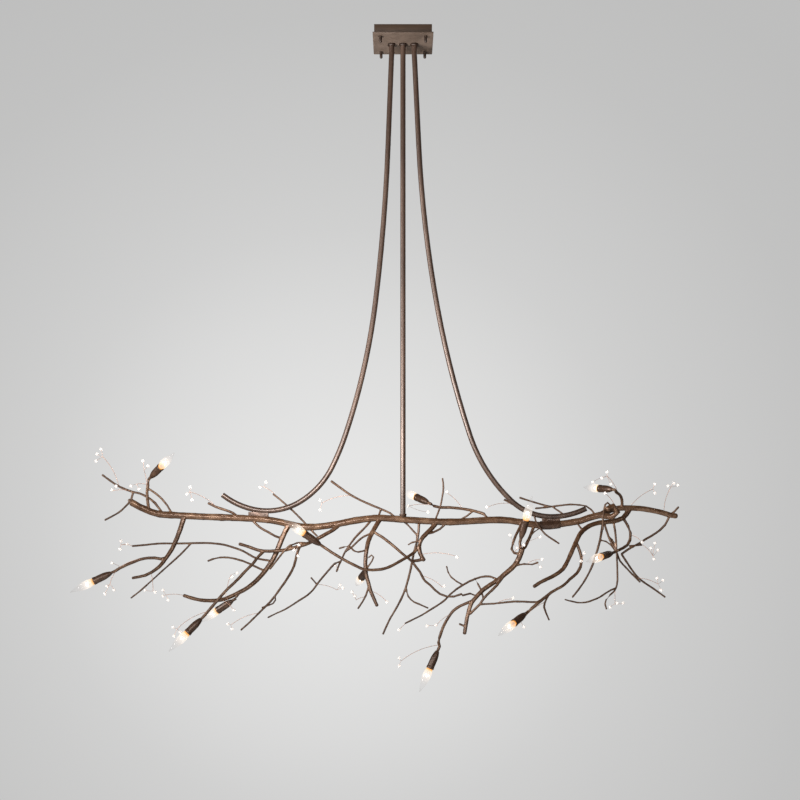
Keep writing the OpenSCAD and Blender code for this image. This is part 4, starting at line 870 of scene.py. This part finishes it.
def backdrop():
    """lighter in the middle and darker towards its edges, as in the photograph"""
    m = bpy.data.materials.new("backdrop")
    m.use_nodes = True
    t = m.node_tree
    t.nodes.clear()
    out = t.nodes.new("ShaderNodeOutputMaterial")
    coord = t.nodes.new("ShaderNodeTexCoord")
    mp = t.nodes.new("ShaderNodeMapping")
    mp.inputs["Scale"].default_value = (*BACKDROP_SIZE, 1)
    mp.inputs["Location"].default_value = (*BRIGHT_SPOT, 0)
    length = t.nodes.new("ShaderNodeVectorMath")
    length.operation = "LENGTH"
    t.links.new(coord.outputs["Object"], mp.inputs[0])
    t.links.new(mp.outputs[0], length.inputs[0])
    share = t.nodes.new("ShaderNodeMath")
    share.operation = "MULTIPLY"
    share.inputs[1].default_value = 1 / FADE_REACH
    t.links.new(length.outputs["Value"], share.inputs[0])
    # painted light: a pool of light on the backdrop, brightest at BRIGHT_SPOT and fading towards the edges
    ramp = t.nodes.new("ShaderNodeValToRGB")
    tones = [(0.0, 0.80), (0.10, 0.785), (0.21, 0.742), (0.30, 0.70), (0.42, 0.632), (0.51, 0.60),
             (0.64, 0.562), (0.72, 0.54), (0.9, 0.517)]
    fill_ramp(ramp, [(p, (c, c, c * 0.995)) for p, c in tones])
    t.links.new(share.outputs[0], ramp.inputs[0])
    seen = t.nodes.new("ShaderNodeEmission")
    t.links.new(ramp.outputs[0], seen.inputs["Color"])
    unseen = t.nodes.new("ShaderNodeEmission")
    unseen.inputs["Color"].default_value = (UNSEEN_TONE, UNSEEN_TONE, UNSEEN_TONE, 1)
    mix = t.nodes.new("ShaderNodeMixShader")
    t.links.new(seen_ray(t), mix.inputs[0])
    t.links.new(unseen.outputs[0], mix.inputs[1])
    t.links.new(seen.outputs[0], mix.inputs[2])
    t.links.new(mix.outputs[0], out.inputs[0])
    ob = plane("backdrop", BACKDROP_SIZE, (0, 7.5, -1.5), (math.radians(90), 0, 0))
    ob.data.materials.append(m)


def floor():
    m = Mat("floor").set(Roughness=0.9)
    m.to(m.ramp(m.noise(3, 3), [(0.3, (0.62, 0.62, 0.61)), (0.7, (0.68, 0.68, 0.67))]), "Base Color")
    plane("floor", (30, 30), (0, 0, -4.0), (0, 0, 0)).data.materials.append(m.m)


def studio_world():
    world = bpy.data.worlds.new("studio")
    scene.world = world
    world.use_nodes = True
    t = world.node_tree
    mix = t.nodes.new("ShaderNodeMix")
    mix.data_type = "RGBA"
    mix.inputs[6].default_value = (0.11, 0.108, 0.105, 1)
    mix.inputs[7].default_value = (0.60, 0.60, 0.60, 1)
    t.links.new(seen_ray(t), mix.inputs["Factor"])
    t.links.new(mix.outputs[2], t.nodes["Background"].inputs["Color"])


def area(name, at, target, size, power, colour=(1, 1, 1)):
    d = bpy.data.lights.new(name, "AREA")
    d.shape = "RECTANGLE"
    d.size, d.size_y = size
    d.energy = power
    d.color = colour
    ob = bpy.data.objects.new(name, d)
    ob.location = at
    ob.rotation_euler = (Vector(target) - Vector(at)).to_track_quat("-Z", "Y").to_euler()
    ob.visible_camera = False
    scene.collection.objects.link(ob)


backdrop()
floor()
studio_world()
area("key", (-3.9, -1.7, -0.9), (0, 0, -1.2), (2.0, 2.6), 200, (1.0, 0.98, 0.95))
area("front", (-0.9, -4.5, -0.8), (-0.1, 0, -1.4), (3.2, 2.0), 125, (1.0, 0.98, 0.96))
area("right", (2.3, -4.0, -1.2), (0.5, 0, -1.5), (1.6, 1.6), 26, (1.0, 0.97, 0.94))
area("low_fill", (0, -1.5, -3.6), (0, 0, -0.6), (3.0, 2.0), 14)
area("canopy_fill", (-0.5, -0.7, -1.2), (0, 0, 0), (0.6, 0.5), 34, (1.0, 0.96, 0.93))
area("back_rim", (2.8, 3.2, 0.6), (0, 0, -1.4), (1.6, 1.6), 15)
